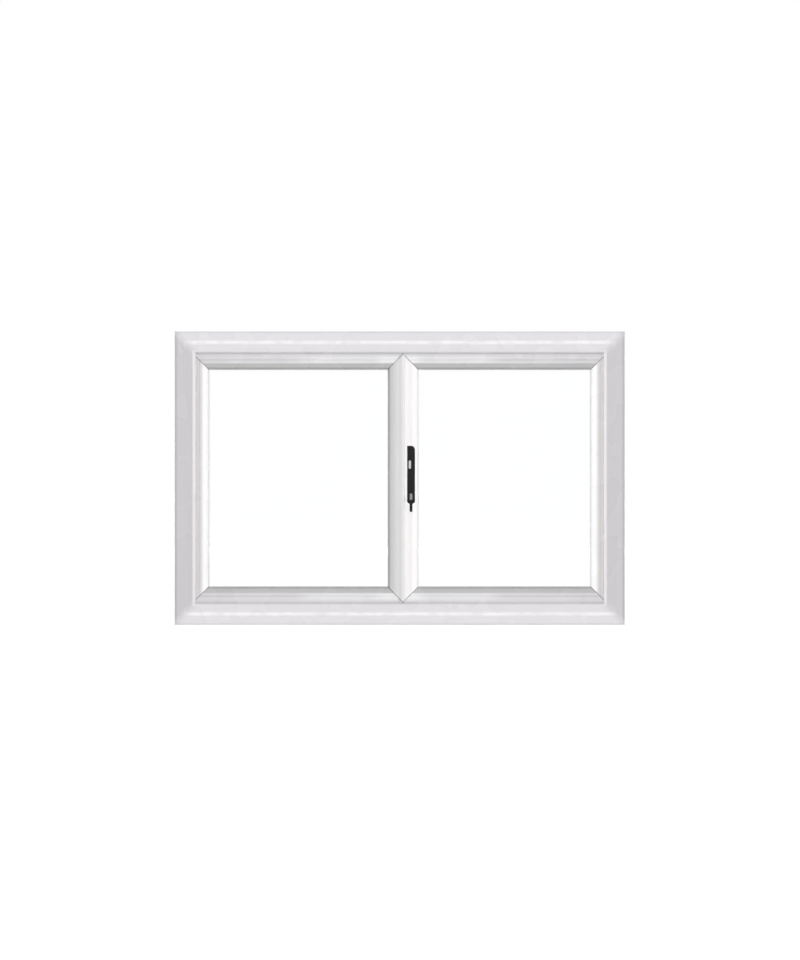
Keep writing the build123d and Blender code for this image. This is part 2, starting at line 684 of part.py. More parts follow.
def make_lock():
    """Gear case, faceplate, sliding rod with its cams, and the keeps they catch."""
    near = LOCK_DEPTH - pocket_half
    far = LOCK_DEPTH + pocket_half
    half_case = CASE_HEIGHT / 2
    stile = nodes["sash_lock_stile"]
    plate_near = LOCK_DEPTH - FACEPLATE_WIDTH / 2
    plate_far = LOCK_DEPTH + FACEPLATE_WIDTH / 2
    plate_back = lock_edge + FACEPLATE_THICK
    stile -= block((lock_edge - OVERCUT, plate_near, plate_bottom), (plate_back, plate_far, plate_top))
    groove_low = (lock_edge, near, rod_bottom - ROD_CLEAR)
    groove_high = (case_near, far, rod_top + rod_travel + ROD_CLEAR)
    stile -= block(groove_low, groove_high)
    pocket_low = (lock_edge, near, PIVOT_HEIGHT - half_case - POCKET_CLEAR)
    pocket_high = (case_far + POCKET_CLEAR, far, PIVOT_HEIGHT + half_case + POCKET_CLEAR)
    stile -= block(pocket_low, pocket_high)
    spindle_start = (pivot_x, Y_LEAF - OVERCUT, PIVOT_HEIGHT)
    stile -= rod_between(spindle_start, (0, 1, 0), LOCK_DEPTH - Y_LEAF, JOURNAL_RADIUS + SPINDLE_ROOM)

    case_low = (case_near, LOCK_DEPTH - cheek_outer, PIVOT_HEIGHT - half_case)
    case_high = (case_far, LOCK_DEPTH + cheek_outer, PIVOT_HEIGHT + half_case)
    hollow_low = (case_near - OVERCUT, LOCK_DEPTH - cheek_inner, PIVOT_HEIGHT - half_case - OVERCUT)
    hollow_high = (case_far - CASE_WEB, LOCK_DEPTH + cheek_inner, PIVOT_HEIGHT + half_case + OVERCUT)
    case = block(case_low, case_high) - block(hollow_low, hollow_high)
    bore_start = (pivot_x, LOCK_DEPTH - cheek_outer - OVERCUT, PIVOT_HEIGHT)
    bore_length = 2 * (cheek_outer + OVERCUT)
    bore = rod_between(bore_start, (0, 1, 0), bore_length, JOURNAL_RADIUS + JOURNAL_CLEAR)
    nodes["gear_case"] = case - bore

    plate = block((lock_edge, plate_near, plate_bottom), (plate_back, plate_far, plate_top))
    slot_half = CAM_STEM_RADIUS + CAM_CLEAR
    for z in cam_heights:
        low = (lock_edge - OVERCUT, LOCK_DEPTH - slot_half, z - slot_half)
        high = (plate_back + OVERCUT, LOCK_DEPTH + slot_half, z + rod_travel + slot_half)
        plate -= block(low, high)
    plate_screws = []
    for z in (plate_bottom + FACEPLATE_SCREW_INSET, plate_top - FACEPLATE_SCREW_INSET):
        point = (lock_edge, LOCK_DEPTH, z)
        hole = small_screw(point, (1, 0, 0), PLATE_SCREW_LENGTH, SCREW_CLEAR)
        plate_screws.append(small_screw(point, (1, 0, 0), PLATE_SCREW_LENGTH))
        plate -= hole
        stile -= hole
    nodes["lock_faceplate"] = plate
    nodes["faceplate_screws"] = group(plate_screws)
    nodes["sash_lock_stile"] = stile

    half_rod = ROD_WIDTH / 2
    rod = block((rod_near, LOCK_DEPTH - half_rod, rod_bottom), (rod_far, LOCK_DEPTH + half_rod, rod_top))
    rack = rack_outline(PIVOT_HEIGHT - rod_travel / 2, RACK_HEIGHT)
    rod += at_depth(rack, LOCK_DEPTH - gear_half, LOCK_DEPTH + gear_half)
    nodes["drive_rod"] = rod
    cams = []
    for z in cam_heights:
        stem_length = rod_near - lock_edge + CAM_CLEAR
        cam = rod_between((rod_near, LOCK_DEPTH, z), (-1, 0, 0), stem_length, CAM_STEM_RADIUS)
        cam += rod_between((lock_edge - CAM_CLEAR, LOCK_DEPTH, z), (-1, 0, 0), CAM_HEAD, CAM_RADIUS)
        cams.append(cam)
    nodes["locking_cams"] = group(cams)
    make_keeps()


def make_keeps():
    """Keeps let into the fixed meeting stile, each with a lip on the outdoor side of its cam."""
    lip_near = LOCK_DEPTH + CAM_RADIUS + CAM_CLEAR
    lip_far = lip_near + KEEP_LIP_THICK
    screws = []
    for name, z in zip(("lower_keep", "upper_keep"), cam_heights):
        top = z + CAM_RADIUS
        bottom = top - KEEP_HEIGHT
        low = (MEETING_EDGE - KEEP_THICK, lip_far - KEEP_WIDTH, bottom)
        keep = block(low, (MEETING_EDGE, lip_far, top))
        nodes["fixed_meeting_stile"] -= keep
        lip_low = (MEETING_EDGE - KEEP_THICK, lip_near, top - KEEP_LIP_HEIGHT)
        keep += block(lip_low, (MEETING_EDGE + KEEP_LIP, lip_far, top))
        screw_middle = bottom + KEEP_SCREW_INSET + KEEP_SCREW_PITCH / 2
        for half in (-KEEP_SCREW_PITCH / 2, KEEP_SCREW_PITCH / 2):
            point = (MEETING_EDGE, lip_far - KEEP_WIDTH / 2, screw_middle + half)
            hole = small_screw(point, (-1, 0, 0), PLATE_SCREW_LENGTH, SCREW_CLEAR)
            screws.append(small_screw(point, (-1, 0, 0), PLATE_SCREW_LENGTH))
            keep -= hole
            nodes["fixed_meeting_stile"] -= hole
        nodes[name] = keep
    nodes["keep_screws"] = group(screws)


def oblong(width, height, middle_x, middle_z):
    """Upright slot outline with round ends."""
    return Pos(middle_x, middle_z) * SlotOverall(height, width, rotation=90)


def lever_section(near, far):
    """Level section of the lever with soft edges, between two depths, a little wider than its outline."""
    half = LEVER_WIDTH / 2 + OVERCUT
    return outline(
        (pivot_x - half, near, GRIP_SOFT),
        (pivot_x + half, near, GRIP_SOFT),
        (pivot_x + half, far, GRIP_SOFT),
        (pivot_x - half, far, GRIP_SOFT),
    )


def make_handle():
    """Base, turning lever with its cap and button, and the spindle that drives the pinion."""
    base_front = Y_LEAF - BASE_THICK
    half_base = BASE_WIDTH / 2
    half_tail = TAIL_WIDTH / 2
    shoulder = PIVOT_HEIGHT - BASE_BELOW
    plate = outline(
        (pivot_x - half_base, shoulder, BASE_ROUND),
        (pivot_x - half_tail, shoulder),
        (pivot_x - half_tail, PIVOT_HEIGHT - TAIL_BELOW, BASE_ROUND),
        (pivot_x + half_tail, PIVOT_HEIGHT - TAIL_BELOW, BASE_ROUND),
        (pivot_x + half_tail, shoulder),
        (pivot_x + half_base, shoulder, BASE_ROUND),
        (pivot_x + half_base, PIVOT_HEIGHT + BASE_ABOVE, BASE_ROUND),
        (pivot_x - half_base, PIVOT_HEIGHT + BASE_ABOVE, BASE_ROUND),
    )
    base = at_depth(plate, base_front, Y_LEAF)
    bore_start = (pivot_x, base_front - OVERCUT, PIVOT_HEIGHT)
    base -= rod_between(bore_start, (0, 1, 0), BASE_THICK + 2 * OVERCUT, JOURNAL_RADIUS + JOURNAL_CLEAR)
    screws = []
    for z in (PIVOT_HEIGHT + BASE_SCREW_ABOVE, PIVOT_HEIGHT - BASE_SCREW_BELOW):
        point = (pivot_x, base_front, z)
        hole = small_screw(point, (0, 1, 0), BASE_SCREW_LENGTH, SCREW_CLEAR)
        screws.append(small_screw(point, (0, 1, 0), BASE_SCREW_LENGTH))
        base -= hole
        nodes["sash_lock_stile"] -= hole
    nodes["handle_base"] = base
    nodes["handle_screws"] = group(screws)

    back = base_front - LEVER_CLEAR
    hub_front = back - HUB_THICK
    grip_back = back - GRIP_OUT
    grip_front = grip_back - GRIP_THICK
    bottom = PIVOT_HEIGHT - HUB_RADIUS - OVERCUT
    hub_top = PIVOT_HEIGHT + HUB_ABOVE
    neck_top = hub_top + NECK_LENGTH
    top = PIVOT_HEIGHT + LEVER_ABOVE
    half_width = LEVER_WIDTH / 2
    front = outline(
        (pivot_x + half_width, PIVOT_HEIGHT),
        (pivot_x + half_width, hub_top - NOTCH_DEPTH),
        (pivot_x + half_width - NOTCH_DEPTH, hub_top),
        (pivot_x + half_width, hub_top + NOTCH_DEPTH),
        (pivot_x + half_width, top, GRIP_ROUND),
        (pivot_x - half_width, top, GRIP_EDGE),
        (pivot_x - half_width, PIVOT_HEIGHT),
    )
    hub_end = Pos(pivot_x, PIVOT_HEIGHT) * Circle(HUB_RADIUS)
    hub_end &= Pos(pivot_x, PIVOT_HEIGHT) * Rectangle(LEVER_WIDTH, 2 * HUB_RADIUS)
    front += hub_end - Pos(pivot_x, PIVOT_HEIGHT + HUB_RADIUS) * Rectangle(LEVER_WIDTH, 2 * HUB_RADIUS)
    hub_section = lever_section(back, hub_front)
    grip_section = lever_section(grip_back, grip_front)
    lever = Pos(0, 0, bottom) * extrude(hub_section, amount=hub_top - bottom, dir=(0, 0, 1))
    neck_ends = [(Pos(0, 0, hub_top) * hub_section).face(), (Pos(0, 0, neck_top) * grip_section).face()]
    lever += loft(neck_ends, ruled=True)
    lever += Pos(0, 0, neck_top) * extrude(grip_section, amount=top + OVERCUT - neck_top, dir=(0, 0, 1))
    lever &= at_depth(front, grip_front - OVERCUT, back + OVERCUT)
    half_square = SPINDLE_SIDE / 2
    spindle_end = back - SOCKET_DEPTH
    square_low = (pivot_x - half_square, spindle_end, PIVOT_HEIGHT - half_square)
    square_high = (pivot_x + half_square, LOCK_DEPTH + cheek_outer, PIVOT_HEIGHT + half_square)
    spindle = block(square_low, square_high)
    lever -= spindle
    cap_face = oblong(CAP_WIDTH, CAP_HEIGHT, pivot_x, PIVOT_HEIGHT + CAP_RISE)
    lever -= at_depth(cap_face, hub_front - OVERCUT, hub_front + CAP_DEPTH)
    button_at = (pivot_x + BUTTON_ASIDE, PIVOT_HEIGHT + BUTTON_ABOVE)
    pocket = oblong(BUTTON_WIDTH + 2 * BUTTON_CLEAR, BUTTON_HEIGHT + 2 * BUTTON_CLEAR, *button_at)
    pocket_floor = grip_front + BUTTON_DEPTH + BUTTON_TRAVEL + BUTTON_CLEAR
    lever -= at_depth(pocket, grip_front - OVERCUT, pocket_floor)
    nodes["handle_lever"] = lever
    nodes["lever_pivot_cap"] = at_depth(cap_face, hub_front - CAP_PROUD, hub_front + CAP_DEPTH)
    button_face = oblong(BUTTON_WIDTH, BUTTON_HEIGHT, *button_at)
    nodes["lock_button"] = at_depth(button_face, grip_front - BUTTON_PROUD, grip_front + BUTTON_DEPTH)
    nodes["spindle"] = spindle

    gear_start = LOCK_DEPTH - gear_half
    teeth = Plane((pivot_x, gear_start, PIVOT_HEIGHT), x_dir=(-1, 0, 0), z_dir=(0, 1, 0)) * pinion_outline()
    pinion = extrude(teeth, amount=GEAR_WIDTH, dir=(0, 1, 0))
    journal_start = (pivot_x, LOCK_DEPTH - cheek_outer, PIVOT_HEIGHT)
    pinion += rod_between(journal_start, (0, 1, 0), 2 * cheek_outer, JOURNAL_RADIUS)
    nodes["drive_pinion"] = pinion - spindle


fixed_names = {
    "left": "jamb_stile",
    "right": "meeting_stile",
    "bottom": "bottom_rail",
    "top": "top_rail",
}
sash_names = {
    "left": "lock_stile",
    "right": "hinge_stile",
    "bottom": "bottom_rail",
    "top": "top_rail",
}
make_frame()
make_leaf("fixed_", fixed_outer, fixed_sight, fixed_faces, fixed_names)
make_leaf("sash_", sash_outer, sash_sight, sash_faces, sash_names)
fix_left_leaf()
make_astragal()
make_hinges()
make_lock()
make_handle()

os.makedirs("parts", exist_ok=True)
for name, shape in nodes.items():
    export_step(shape, "parts/" + name + ".step")
print(len(nodes), "nodes written")
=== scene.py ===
# %% [markdown]
# # A white casement window
# The window has a plastic outer frame, a fixed leaf on the left and a sash on the right that opens
# outdoors. A packed CAD model gives every piece its place. This lesson gives the pieces their finishes,
# and adds the small things that a solid model leaves out, such as screw heads, seal lips and the holes in
# the spacer bars.

# %% Load the packed model
import json
import math

import bmesh
import bpy
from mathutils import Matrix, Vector


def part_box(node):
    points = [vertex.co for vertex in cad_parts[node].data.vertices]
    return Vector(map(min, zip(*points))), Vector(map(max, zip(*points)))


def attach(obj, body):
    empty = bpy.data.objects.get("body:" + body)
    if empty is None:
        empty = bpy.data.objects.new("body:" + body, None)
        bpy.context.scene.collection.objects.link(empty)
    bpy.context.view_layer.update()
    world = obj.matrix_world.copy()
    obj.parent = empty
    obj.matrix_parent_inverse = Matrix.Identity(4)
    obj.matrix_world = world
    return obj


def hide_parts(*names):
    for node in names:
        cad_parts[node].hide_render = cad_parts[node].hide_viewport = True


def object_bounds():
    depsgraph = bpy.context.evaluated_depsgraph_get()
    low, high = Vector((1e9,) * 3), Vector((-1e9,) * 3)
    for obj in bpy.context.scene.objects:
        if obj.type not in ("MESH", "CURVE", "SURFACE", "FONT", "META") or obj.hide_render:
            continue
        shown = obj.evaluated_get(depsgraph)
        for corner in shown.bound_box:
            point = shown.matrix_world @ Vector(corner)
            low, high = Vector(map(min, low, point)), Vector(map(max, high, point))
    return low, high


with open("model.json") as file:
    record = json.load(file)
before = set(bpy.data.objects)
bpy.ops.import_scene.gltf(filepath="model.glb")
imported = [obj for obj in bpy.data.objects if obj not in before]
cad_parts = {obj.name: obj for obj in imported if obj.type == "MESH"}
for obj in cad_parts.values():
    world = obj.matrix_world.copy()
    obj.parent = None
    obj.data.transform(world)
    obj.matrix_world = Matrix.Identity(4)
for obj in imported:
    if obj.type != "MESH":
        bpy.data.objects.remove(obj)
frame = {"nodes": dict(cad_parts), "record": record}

MM = 0.001
nodes = frame["nodes"]
cad_box = [list(corner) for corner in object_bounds()]
print("CAD box", cad_box)

# %% [markdown]
# The rings of the window are easiest to describe by the rectangle that they surround: the frame runs
# round its inner lip, and each leaf round the glass that shows. The rectangles are measured from the CAD
# nodes, so that every later step follows the model if a size changes.


# %% Measure the rings
class Opening:
    """Upright rectangle that a ring of members surrounds, in metres."""

    def __init__(self, left, right, bottom, top):
        self.middle = Vector(((left + right) / 2, 0, (bottom + top) / 2))
        self.half_width = (right - left) / 2
        self.half_height = (top - bottom) / 2


def opening_inside(left, right, bottom, top):
    """Opening between the inner edges of four CAD nodes."""
    return Opening(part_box(left)[1].x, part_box(right)[0].x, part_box(bottom)[1].z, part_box(top)[0].z)


lip_opening = opening_inside("frame_left_jamb", "frame_right_jamb", "frame_sill", "frame_head")
fixed_glass = opening_inside("fixed_left_bead", "fixed_right_bead", "fixed_bottom_bead", "fixed_top_bead")
sash_glass = opening_inside("sash_left_bead", "sash_right_bead", "sash_bottom_bead", "sash_top_bead")
for name, opening in (("lip", lip_opening), ("fixed glass", fixed_glass), ("sash glass", sash_glass)):
    print(name, "opening", round(2 * opening.half_width, 4), "by", round(2 * opening.half_height, 4))

# %% [markdown]
# A maker picks colours as a screen shows them, from 0 to 255, but a shader counts in linear light, so
# each colour is turned from one into the other. The white plastic isn't a pure grey either: the
# photograph has it a little cool on the frame and the rails, and a little warm on the stiles. A tint adds
# that to a level of white.


# %% Screen colours and tinted whites
def srgb(red, green, blue):
    """Colour as a screen shows it, 0 to 255, turned into the linear values that a shader takes."""
    parts = []
    for value in (red, green, blue):
        share = value / 255
        parts.append(share / 12.92 if share <= 0.04045 else ((share + 0.055) / 1.055) ** 2.4)
    return (*parts, 1.0)


PLAIN = (0, 0, 0)
COOL = (0, -2, 1)
WARM = (0, -3, -4)


def white(level, tint):
    """Plastic white of a screen level, with a slight tint."""
    return srgb(*(level + part for part in tint))


def tones(tint, *stops):
    """Whites at given places. Stops are (place, screen level)."""
    return [(place, white(level, tint)) for place, level in stops]


print("the screen's middle grey is", round(srgb(188, 188, 188)[0], 3), "in linear light")

# %% [markdown]
# A finish is a node tree on one shader. Writing each node by hand takes many lines, so a small class
# holds the tree and adds the few kinds of node that this window needs. All patterns read Object
# coordinates: every piece sits at the origin, so these are real places on the window, and one pattern
# runs on across neighbouring pieces.

# %% A holder for finishes
MIX_FIRST, MIX_SECOND, MIX_RESULT = 6, 7, 2


class Finish:
    """One procedural material, with short ways to add its nodes."""

    def __init__(self, name):
        self.material = bpy.data.materials.new(name)
        self.material.use_nodes = True
        self.tree = self.material.node_tree
        self.shader = self.tree.nodes["Principled BSDF"]
        self.place = self.tree.nodes.new("ShaderNodeTexCoord").outputs["Object"]

    def feed(self, socket, value):
        """Link a socket, or set it to a plain value."""
        if isinstance(value, bpy.types.NodeSocket):
            self.tree.links.new(value, socket)
        else:
            socket.default_value = value

    def set(self, **values):
        """Set the shader's own sockets, with _ for a space in their names."""
        for name, value in values.items():
            self.feed(self.shader.inputs[name.replace("_", " ")], value)

    def axes(self):
        """X, Y and Z of the place on the window."""
        node = self.tree.nodes.new("ShaderNodeSeparateXYZ")
        self.feed(node.inputs[0], self.place)
        return node.outputs

    def sum(self, operation, *values):
        """Math node."""
        node = self.tree.nodes.new("ShaderNodeMath")
        node.operation = operation
        for socket, value in zip(node.inputs, values):
            self.feed(socket, value)
        return node.outputs[0]

    def away(self, value, middle):
        """How far a value lies from a middle, to either side."""
        return self.sum("ABSOLUTE", self.sum("SUBTRACT", value, middle))

    def fade(self, value, low, high, start=0.0, end=1.0):
        """Smooth change from start to end while the value goes from low to high."""
        node = self.tree.nodes.new("ShaderNodeMapRange")
        node.interpolation_type = "SMOOTHSTEP"
        for name, number in (("From Min", low), ("From Max", high), ("To Min", start), ("To Max", end)):
            self.feed(node.inputs[name], number)
        self.feed(node.inputs["Value"], value)
        return node.outputs["Result"]

    def noise(self, stretch, detail=2.0):
        """Noise from 0 to 1 whose cells per metre are given for X, Y and Z."""
        mapping = self.tree.nodes.new("ShaderNodeMapping")
        mapping.inputs["Scale"].default_value = stretch
        self.feed(mapping.inputs["Vector"], self.place)
        node = self.tree.nodes.new("ShaderNodeTexNoise")
        node.inputs["Scale"].default_value = 1.0
        node.inputs["Detail"].default_value = detail
        self.feed(node.inputs["Vector"], mapping.outputs[0])
        return node.outputs["Fac"]

    def ramp(self, value, stops):
        """Colour ramp through (position, colour) stops."""
        node = self.tree.nodes.new("ShaderNodeValToRGB")
        elements = node.color_ramp.elements
        while len(elements) < len(stops):
            elements.new(0.5)
        for element, (position, colour) in zip(elements, stops):
            element.position = position
            element.color = colour
        self.feed(node.inputs["Fac"], value)
        return node.outputs["Color"]

    def mix(self, factor, first, second, blend="MIX"):
        """Colour mix."""
        node = self.tree.nodes.new("ShaderNodeMix")
        node.data_type = "RGBA"
        node.blend_type = blend
        self.feed(node.inputs["Factor"], factor)
        self.feed(node.inputs[MIX_FIRST], first)
        self.feed(node.inputs[MIX_SECOND], second)
        return node.outputs[MIX_RESULT]

    def bump(self, height, distance):
        """Bump of a height from 0 to 1 times a distance in metres, on top of earlier bumps."""
        node = self.tree.nodes.new("ShaderNodeBump")
        node.inputs["Distance"].default_value = distance
        node.inputs["Strength"].default_value = 1.0
        self.feed(node.inputs["Height"], height)
        normal = self.shader.inputs["Normal"]
        if normal.is_linked:
            self.tree.links.new(normal.links[0].from_socket, node.inputs["Normal"])
        self.tree.links.new(node.outputs["Normal"], normal)


print("a finish can", [name for name in vars(Finish) if not name.startswith("_")])

# %% [markdown]
# The uprights and the rails of this window get different painted light and shade: the frame's uprights
# are painted darker than its rails, and the leaves' stiles lighter than their rails. Each member could have
# its own paint, but then the corners would need a third one. Two distances are simpler: how far a point
# lies outside the opening sideways, and up or down. The larger one says which member the point is on and
# how far out it lies there, and their difference is nothing just on the mitre.


# %% Distances round an opening
def ring_distances(finish, opening):
    """Distance outside an opening, and by how much the rails lead over the uprights at a point."""
    x, _, z = finish.axes()
    aside = finish.sum("SUBTRACT", finish.away(x, opening.middle.x), opening.half_width)
    above = finish.sum("SUBTRACT", finish.away(z, opening.middle.z), opening.half_height)
    return finish.sum("MAXIMUM", aside, above), finish.sum("SUBTRACT", above, aside)


def tone_across(finish, across, stops):
    """Colour ramp over the distance from an opening. Stops are (millimetres, colour)."""
    reach = stops[-1][0] * MM
    share = finish.sum("DIVIDE", across, reach)
    return finish.ramp(share, [(mm * MM / reach, colour) for mm, colour in stops])


glass_gap = sash_glass.middle.x - sash_glass.half_width - fixed_glass.middle.x - fixed_glass.half_width
print("the two glass openings are", round(glass_gap / MM, 1), "mm apart")

# %% [markdown]
# All the white plastic shares one skin: a faint lengthwise grain from the die that it was drawn through,
# a fine orange peel, soft cloudy tones, and a thin shaded line where two mitred members are welded. Noise
# makes the first three. For the grain it is stretched along the member, so uprights and rails need one
# each.

# %% Skin of the white plastic
FULL_TONE = (1, 1, 1, 1)
NOISE_LOW, NOISE_HIGH = 0.3, 0.7
CLOUD_CELLS = (14, 14, 14)
CLOUD_TONE = (0.984, 0.984, 0.986, 1)
UPRIGHT_GRAIN_CELLS = (500, 500, 9)
LEVEL_GRAIN_CELLS = (9, 500, 500)
GRAIN_STOPS = [(0.25, (0.97, 0.966, 0.97, 1)), (0.65, FULL_TONE)]
GRAIN_HEIGHT = 0.02 * MM
SWELL_CELLS = (13, 13, 13)
SWELL_HEIGHT = 0.1 * MM
PEEL_CELLS = (700, 700, 700)
PEEL_HEIGHT = 0.005 * MM
JOINT_SHADE = srgb(190, 188, 190)
JOINT_WIDTH = 2.4 * MM
JOINT_CORE = 0.4
JOINT_DEPTH = 0.2 * MM


def joint(finish, lead):
    """1 on the mitre joint of a ring, 0 away from it."""
    return finish.fade(finish.sum("ABSOLUTE", lead), JOINT_CORE * JOINT_WIDTH, JOINT_WIDTH, 1.0, 0.0)


def skin(finish, colour, level, lines=(), gloss=0.45, roughness=(0.24, 0.29)):
    """Clouds, grain, joints, gloss and orange peel that all the white plastic shares."""
    cloud = finish.noise(CLOUD_CELLS, detail=1.0)
    cloud_tone = finish.ramp(cloud, [(NOISE_LOW, CLOUD_TONE), (NOISE_HIGH, FULL_TONE)])
    colour = finish.mix(1.0, colour, cloud_tone, "MULTIPLY")
    grain = finish.mix(level, finish.noise(UPRIGHT_GRAIN_CELLS), finish.noise(LEVEL_GRAIN_CELLS))
    colour = finish.mix(1.0, colour, finish.ramp(grain, GRAIN_STOPS), "MULTIPLY")
    for line in lines:
        colour = finish.mix(line, colour, finish.mix(1.0, colour, JOINT_SHADE, "MULTIPLY"))
        finish.bump(line, -JOINT_DEPTH)
    finish.set(Base_Color=colour, Specular_IOR_Level=gloss)
    finish.set(Roughness=finish.fade(cloud, NOISE_LOW, NOISE_HIGH, *roughness))
    finish.bump(finish.noise(SWELL_CELLS, detail=1.0), SWELL_HEIGHT)
    finish.bump(grain, GRAIN_HEIGHT)
    finish.bump(finish.noise(PEEL_CELLS), PEEL_HEIGHT)


print("a joint fades out within", round(JOINT_WIDTH / MM, 1), "mm along its members")

# %% [markdown]
# The rails carry two painted highlights. A broken streak runs along the middle of the frame's head and
# sill, and a painted sheen lightens the flat of a leaf's rail towards the moulding between the leaves.
# Lamps alone didn't put them where the photograph has them, so they are light tones in the plastic, which
# fade out with the distance from that middle line and from the moulding. Unlike real reflections, they
# stay in place in every view.

# %% Painted highlights on the rails
# Painted highlight streak along the frame's head and sill, and painted sheen on the leaves' rails.
HIGHLIGHT_AT = 29 * MM
HIGHLIGHT_HALF_WIDTH = 8 * MM
DASH_CELLS = (26, 60, 60)
DASH_LOW, DASH_HIGH, DASH_LEAST = 0.36, 0.58, 0.5
WIDE_SHEEN = (220 * MM, 290 * MM, 0.36, 0.0)
CLOSE_SHEEN = (35 * MM, 75 * MM, 0.4, 0.0)
SHEEN_RISE = (14 * MM, 19.5 * MM, 0.0, 1.0)
SHEEN_FALL = (28 * MM, 42 * MM, 1.0, 0.0)
moulding_middle = sum(corner.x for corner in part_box("meeting_astragal")) / 2


def painted_highlight_streak(finish, across):
    """0 to 1: a painted highlight streak in soft dashes along the middle of a member."""
    dashes = finish.fade(finish.noise(DASH_CELLS), DASH_LOW, DASH_HIGH, DASH_LEAST, 1.0)
    streak = finish.fade(finish.away(across, HIGHLIGHT_AT), 0.0, HIGHLIGHT_HALF_WIDTH, 1.0, 0.0)
    return finish.sum("MULTIPLY", streak, dashes)


def painted_sheen_near_moulding(finish, across):
    """0 to 1: how strong the painted sheen on the flat of a rail is towards the meeting moulding."""
    away = finish.away(finish.axes()[0], moulding_middle)
    near = finish.sum("ADD", finish.fade(away, *WIDE_SHEEN), finish.fade(away, *CLOSE_SHEEN))
    flat = finish.sum("MULTIPLY", finish.fade(across, *SHEEN_RISE), finish.fade(across, *SHEEN_FALL))
    return finish.sum("MULTIPLY", near, flat)


print("the moulding's middle is at", round(moulding_middle / MM, 2), "mm")

# %% [markdown]
# A drawn profile has steps and slopes, and each of them takes the light of the room in its own way. These
# tones paint that light and shade into the plastic: painted highlights on the frame's rounded lips and on
# the stiles' bevels, and painted shade on the rails' slopes, on the outer edges and beside each lip. The
# tones are listed in millimetres from the opening outwards, so a list reads like a section through its
# member.

# %% Painted light and shade across the members
# Frame: a painted highlight on the jambs' rounded lip, painted shade on the jambs' flat and outer edge, and
# on the head's lip and outer edge.
LIP_PAINTED_SHADING = tones(COOL, (0, 208), (5.5, 241), (10, 206))
JAMB_PAINTED_SHADING = LIP_PAINTED_SHADING + tones(COOL, (47, 206), (56, 176))
HEAD_PAINTED_SHADING = tones(COOL, (0, 208), (6, 228), (50, 231), (58, 218))
# Leaves: painted light whitens the stiles' bevels; painted shade darkens the stiles beside the lip, the
# rails' slopes, and the rails' flat beside the lip.
STILE_PAINTED_SHADING = tones(PLAIN, (0, 252), (13, 251)) + tones(WARM, (22, 221), (33, 220))
SLOPE_PAINTED_SHADE = tones(PLAIN, (0, 187), (4, 187), (6, 199), (14, 199))
FLAT_PAINTED_SHADING = tones(COOL, (18, 225), (24, 215), (29, 226), (37, 223), (42, 211))
RAIL_PAINTED_SHADING = SLOPE_PAINTED_SHADE + FLAT_PAINTED_SHADING
print("a leaf's rail has", len(RAIL_PAINTED_SHADING), "tones over", RAIL_PAINTED_SHADING[-1][0], "mm")

# %% [markdown]
# Now the finishes of the three rings, with their painted light and shade. The frame is welded and cleaned
# flush, so its painted tones melt into each other over a wide corner and no joint shows. The leaves are
# mitred, with a sharp change and a shaded joint.

# %% Plastic of the frame and the leaves
CORNER_MELT = 45 * MM
LEAF_MELT = 1.2 * MM
PAINTED_HIGHLIGHT_LEVEL = 253


def ring_plastic(name, opening, upright_tones, level_tones, melt, jointed, shine, shine_tint):
    """Plastic of four members round an opening, with painted light and shade and a painted highlight on its
    rails.
    """
    finish = Finish(name)
    across, lead = ring_distances(finish, opening)
    level = finish.fade(lead, -melt / 2, melt / 2)
    level_colour = tone_across(finish, across, level_tones)
    # The painted highlight is mixed into the rails' painted tones.
    level_colour = finish.mix(shine(finish, across), level_colour, white(PAINTED_HIGHLIGHT_LEVEL, shine_tint))
    colour = finish.mix(level, tone_across(finish, across, upright_tones), level_colour)
    skin(finish, colour, level, [joint(finish, lead)] if jointed else [])
    return finish.material


frame_look = (JAMB_PAINTED_SHADING, HEAD_PAINTED_SHADING, CORNER_MELT, False, painted_highlight_streak, COOL)
leaf_look = (STILE_PAINTED_SHADING, RAIL_PAINTED_SHADING, LEAF_MELT, True, painted_sheen_near_moulding, PLAIN)
frame_plastic = ring_plastic("frame_white_plastic", lip_opening, *frame_look)
fixed_plastic = ring_plastic("fixed_leaf_white_plastic", fixed_glass, *leaf_look)
sash_plastic = ring_plastic("sash_white_plastic", sash_glass, *leaf_look)
print("ring finishes:", frame_plastic.name, fixed_plastic.name, sash_plastic.name)

# %% [markdown]
# The moulding over the meeting joint gets painted shade that grows towards its left foot, the meeting
# stile and bead of the fixed leaf are painted darker still, and painted light makes the stile that carries
# the handle the whitest piece of the window. These take the same skin, with less gloss and a tone that
# only depends on the place sideways, and the shaded joints run on across their pointed ends.

# %% Plastic of the meeting joint
MATT_GLOSS = 0.12
MATT_ROUGHNESS = (0.4, 0.5)
# Painted shade on the moulding and on the fixed leaf's meeting stile and bead, painted light on the lock
# stile.
MOULDING_PAINTED_SHADING = tones(PLAIN, (0.0, 201), (0.42, 218), (0.55, 214), (0.84, 236), (1.0, 226))
MEETING_PAINTED_SHADE = tones(PLAIN, (0.0, 164), (0.4, 169), (0.55, 187), (1.0, 199))
LOCK_PAINTED_LIGHT = tones(PLAIN, (0.0, 253)) + tones(WARM, (0.6, 251)) + tones(PLAIN, (1.0, 248))


def upright_plastic(name, node, stops, openings):
    """Plastic of one upright whose painted light and shade changes sideways. Stops are (share of the node's
    width, colour).
    """
    finish = Finish(name)
    low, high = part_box(node)
    share = finish.sum("DIVIDE", finish.sum("SUBTRACT", finish.axes()[0], low.x), high.x - low.x)
    lines = [joint(finish, ring_distances(finish, opening)[1]) for opening in openings]
    skin(finish, finish.ramp(share, stops), 0.0, lines, MATT_GLOSS, MATT_ROUGHNESS)
    print(name, "runs over", round((high.x - low.x) / MM, 1), "mm")
    return finish.material


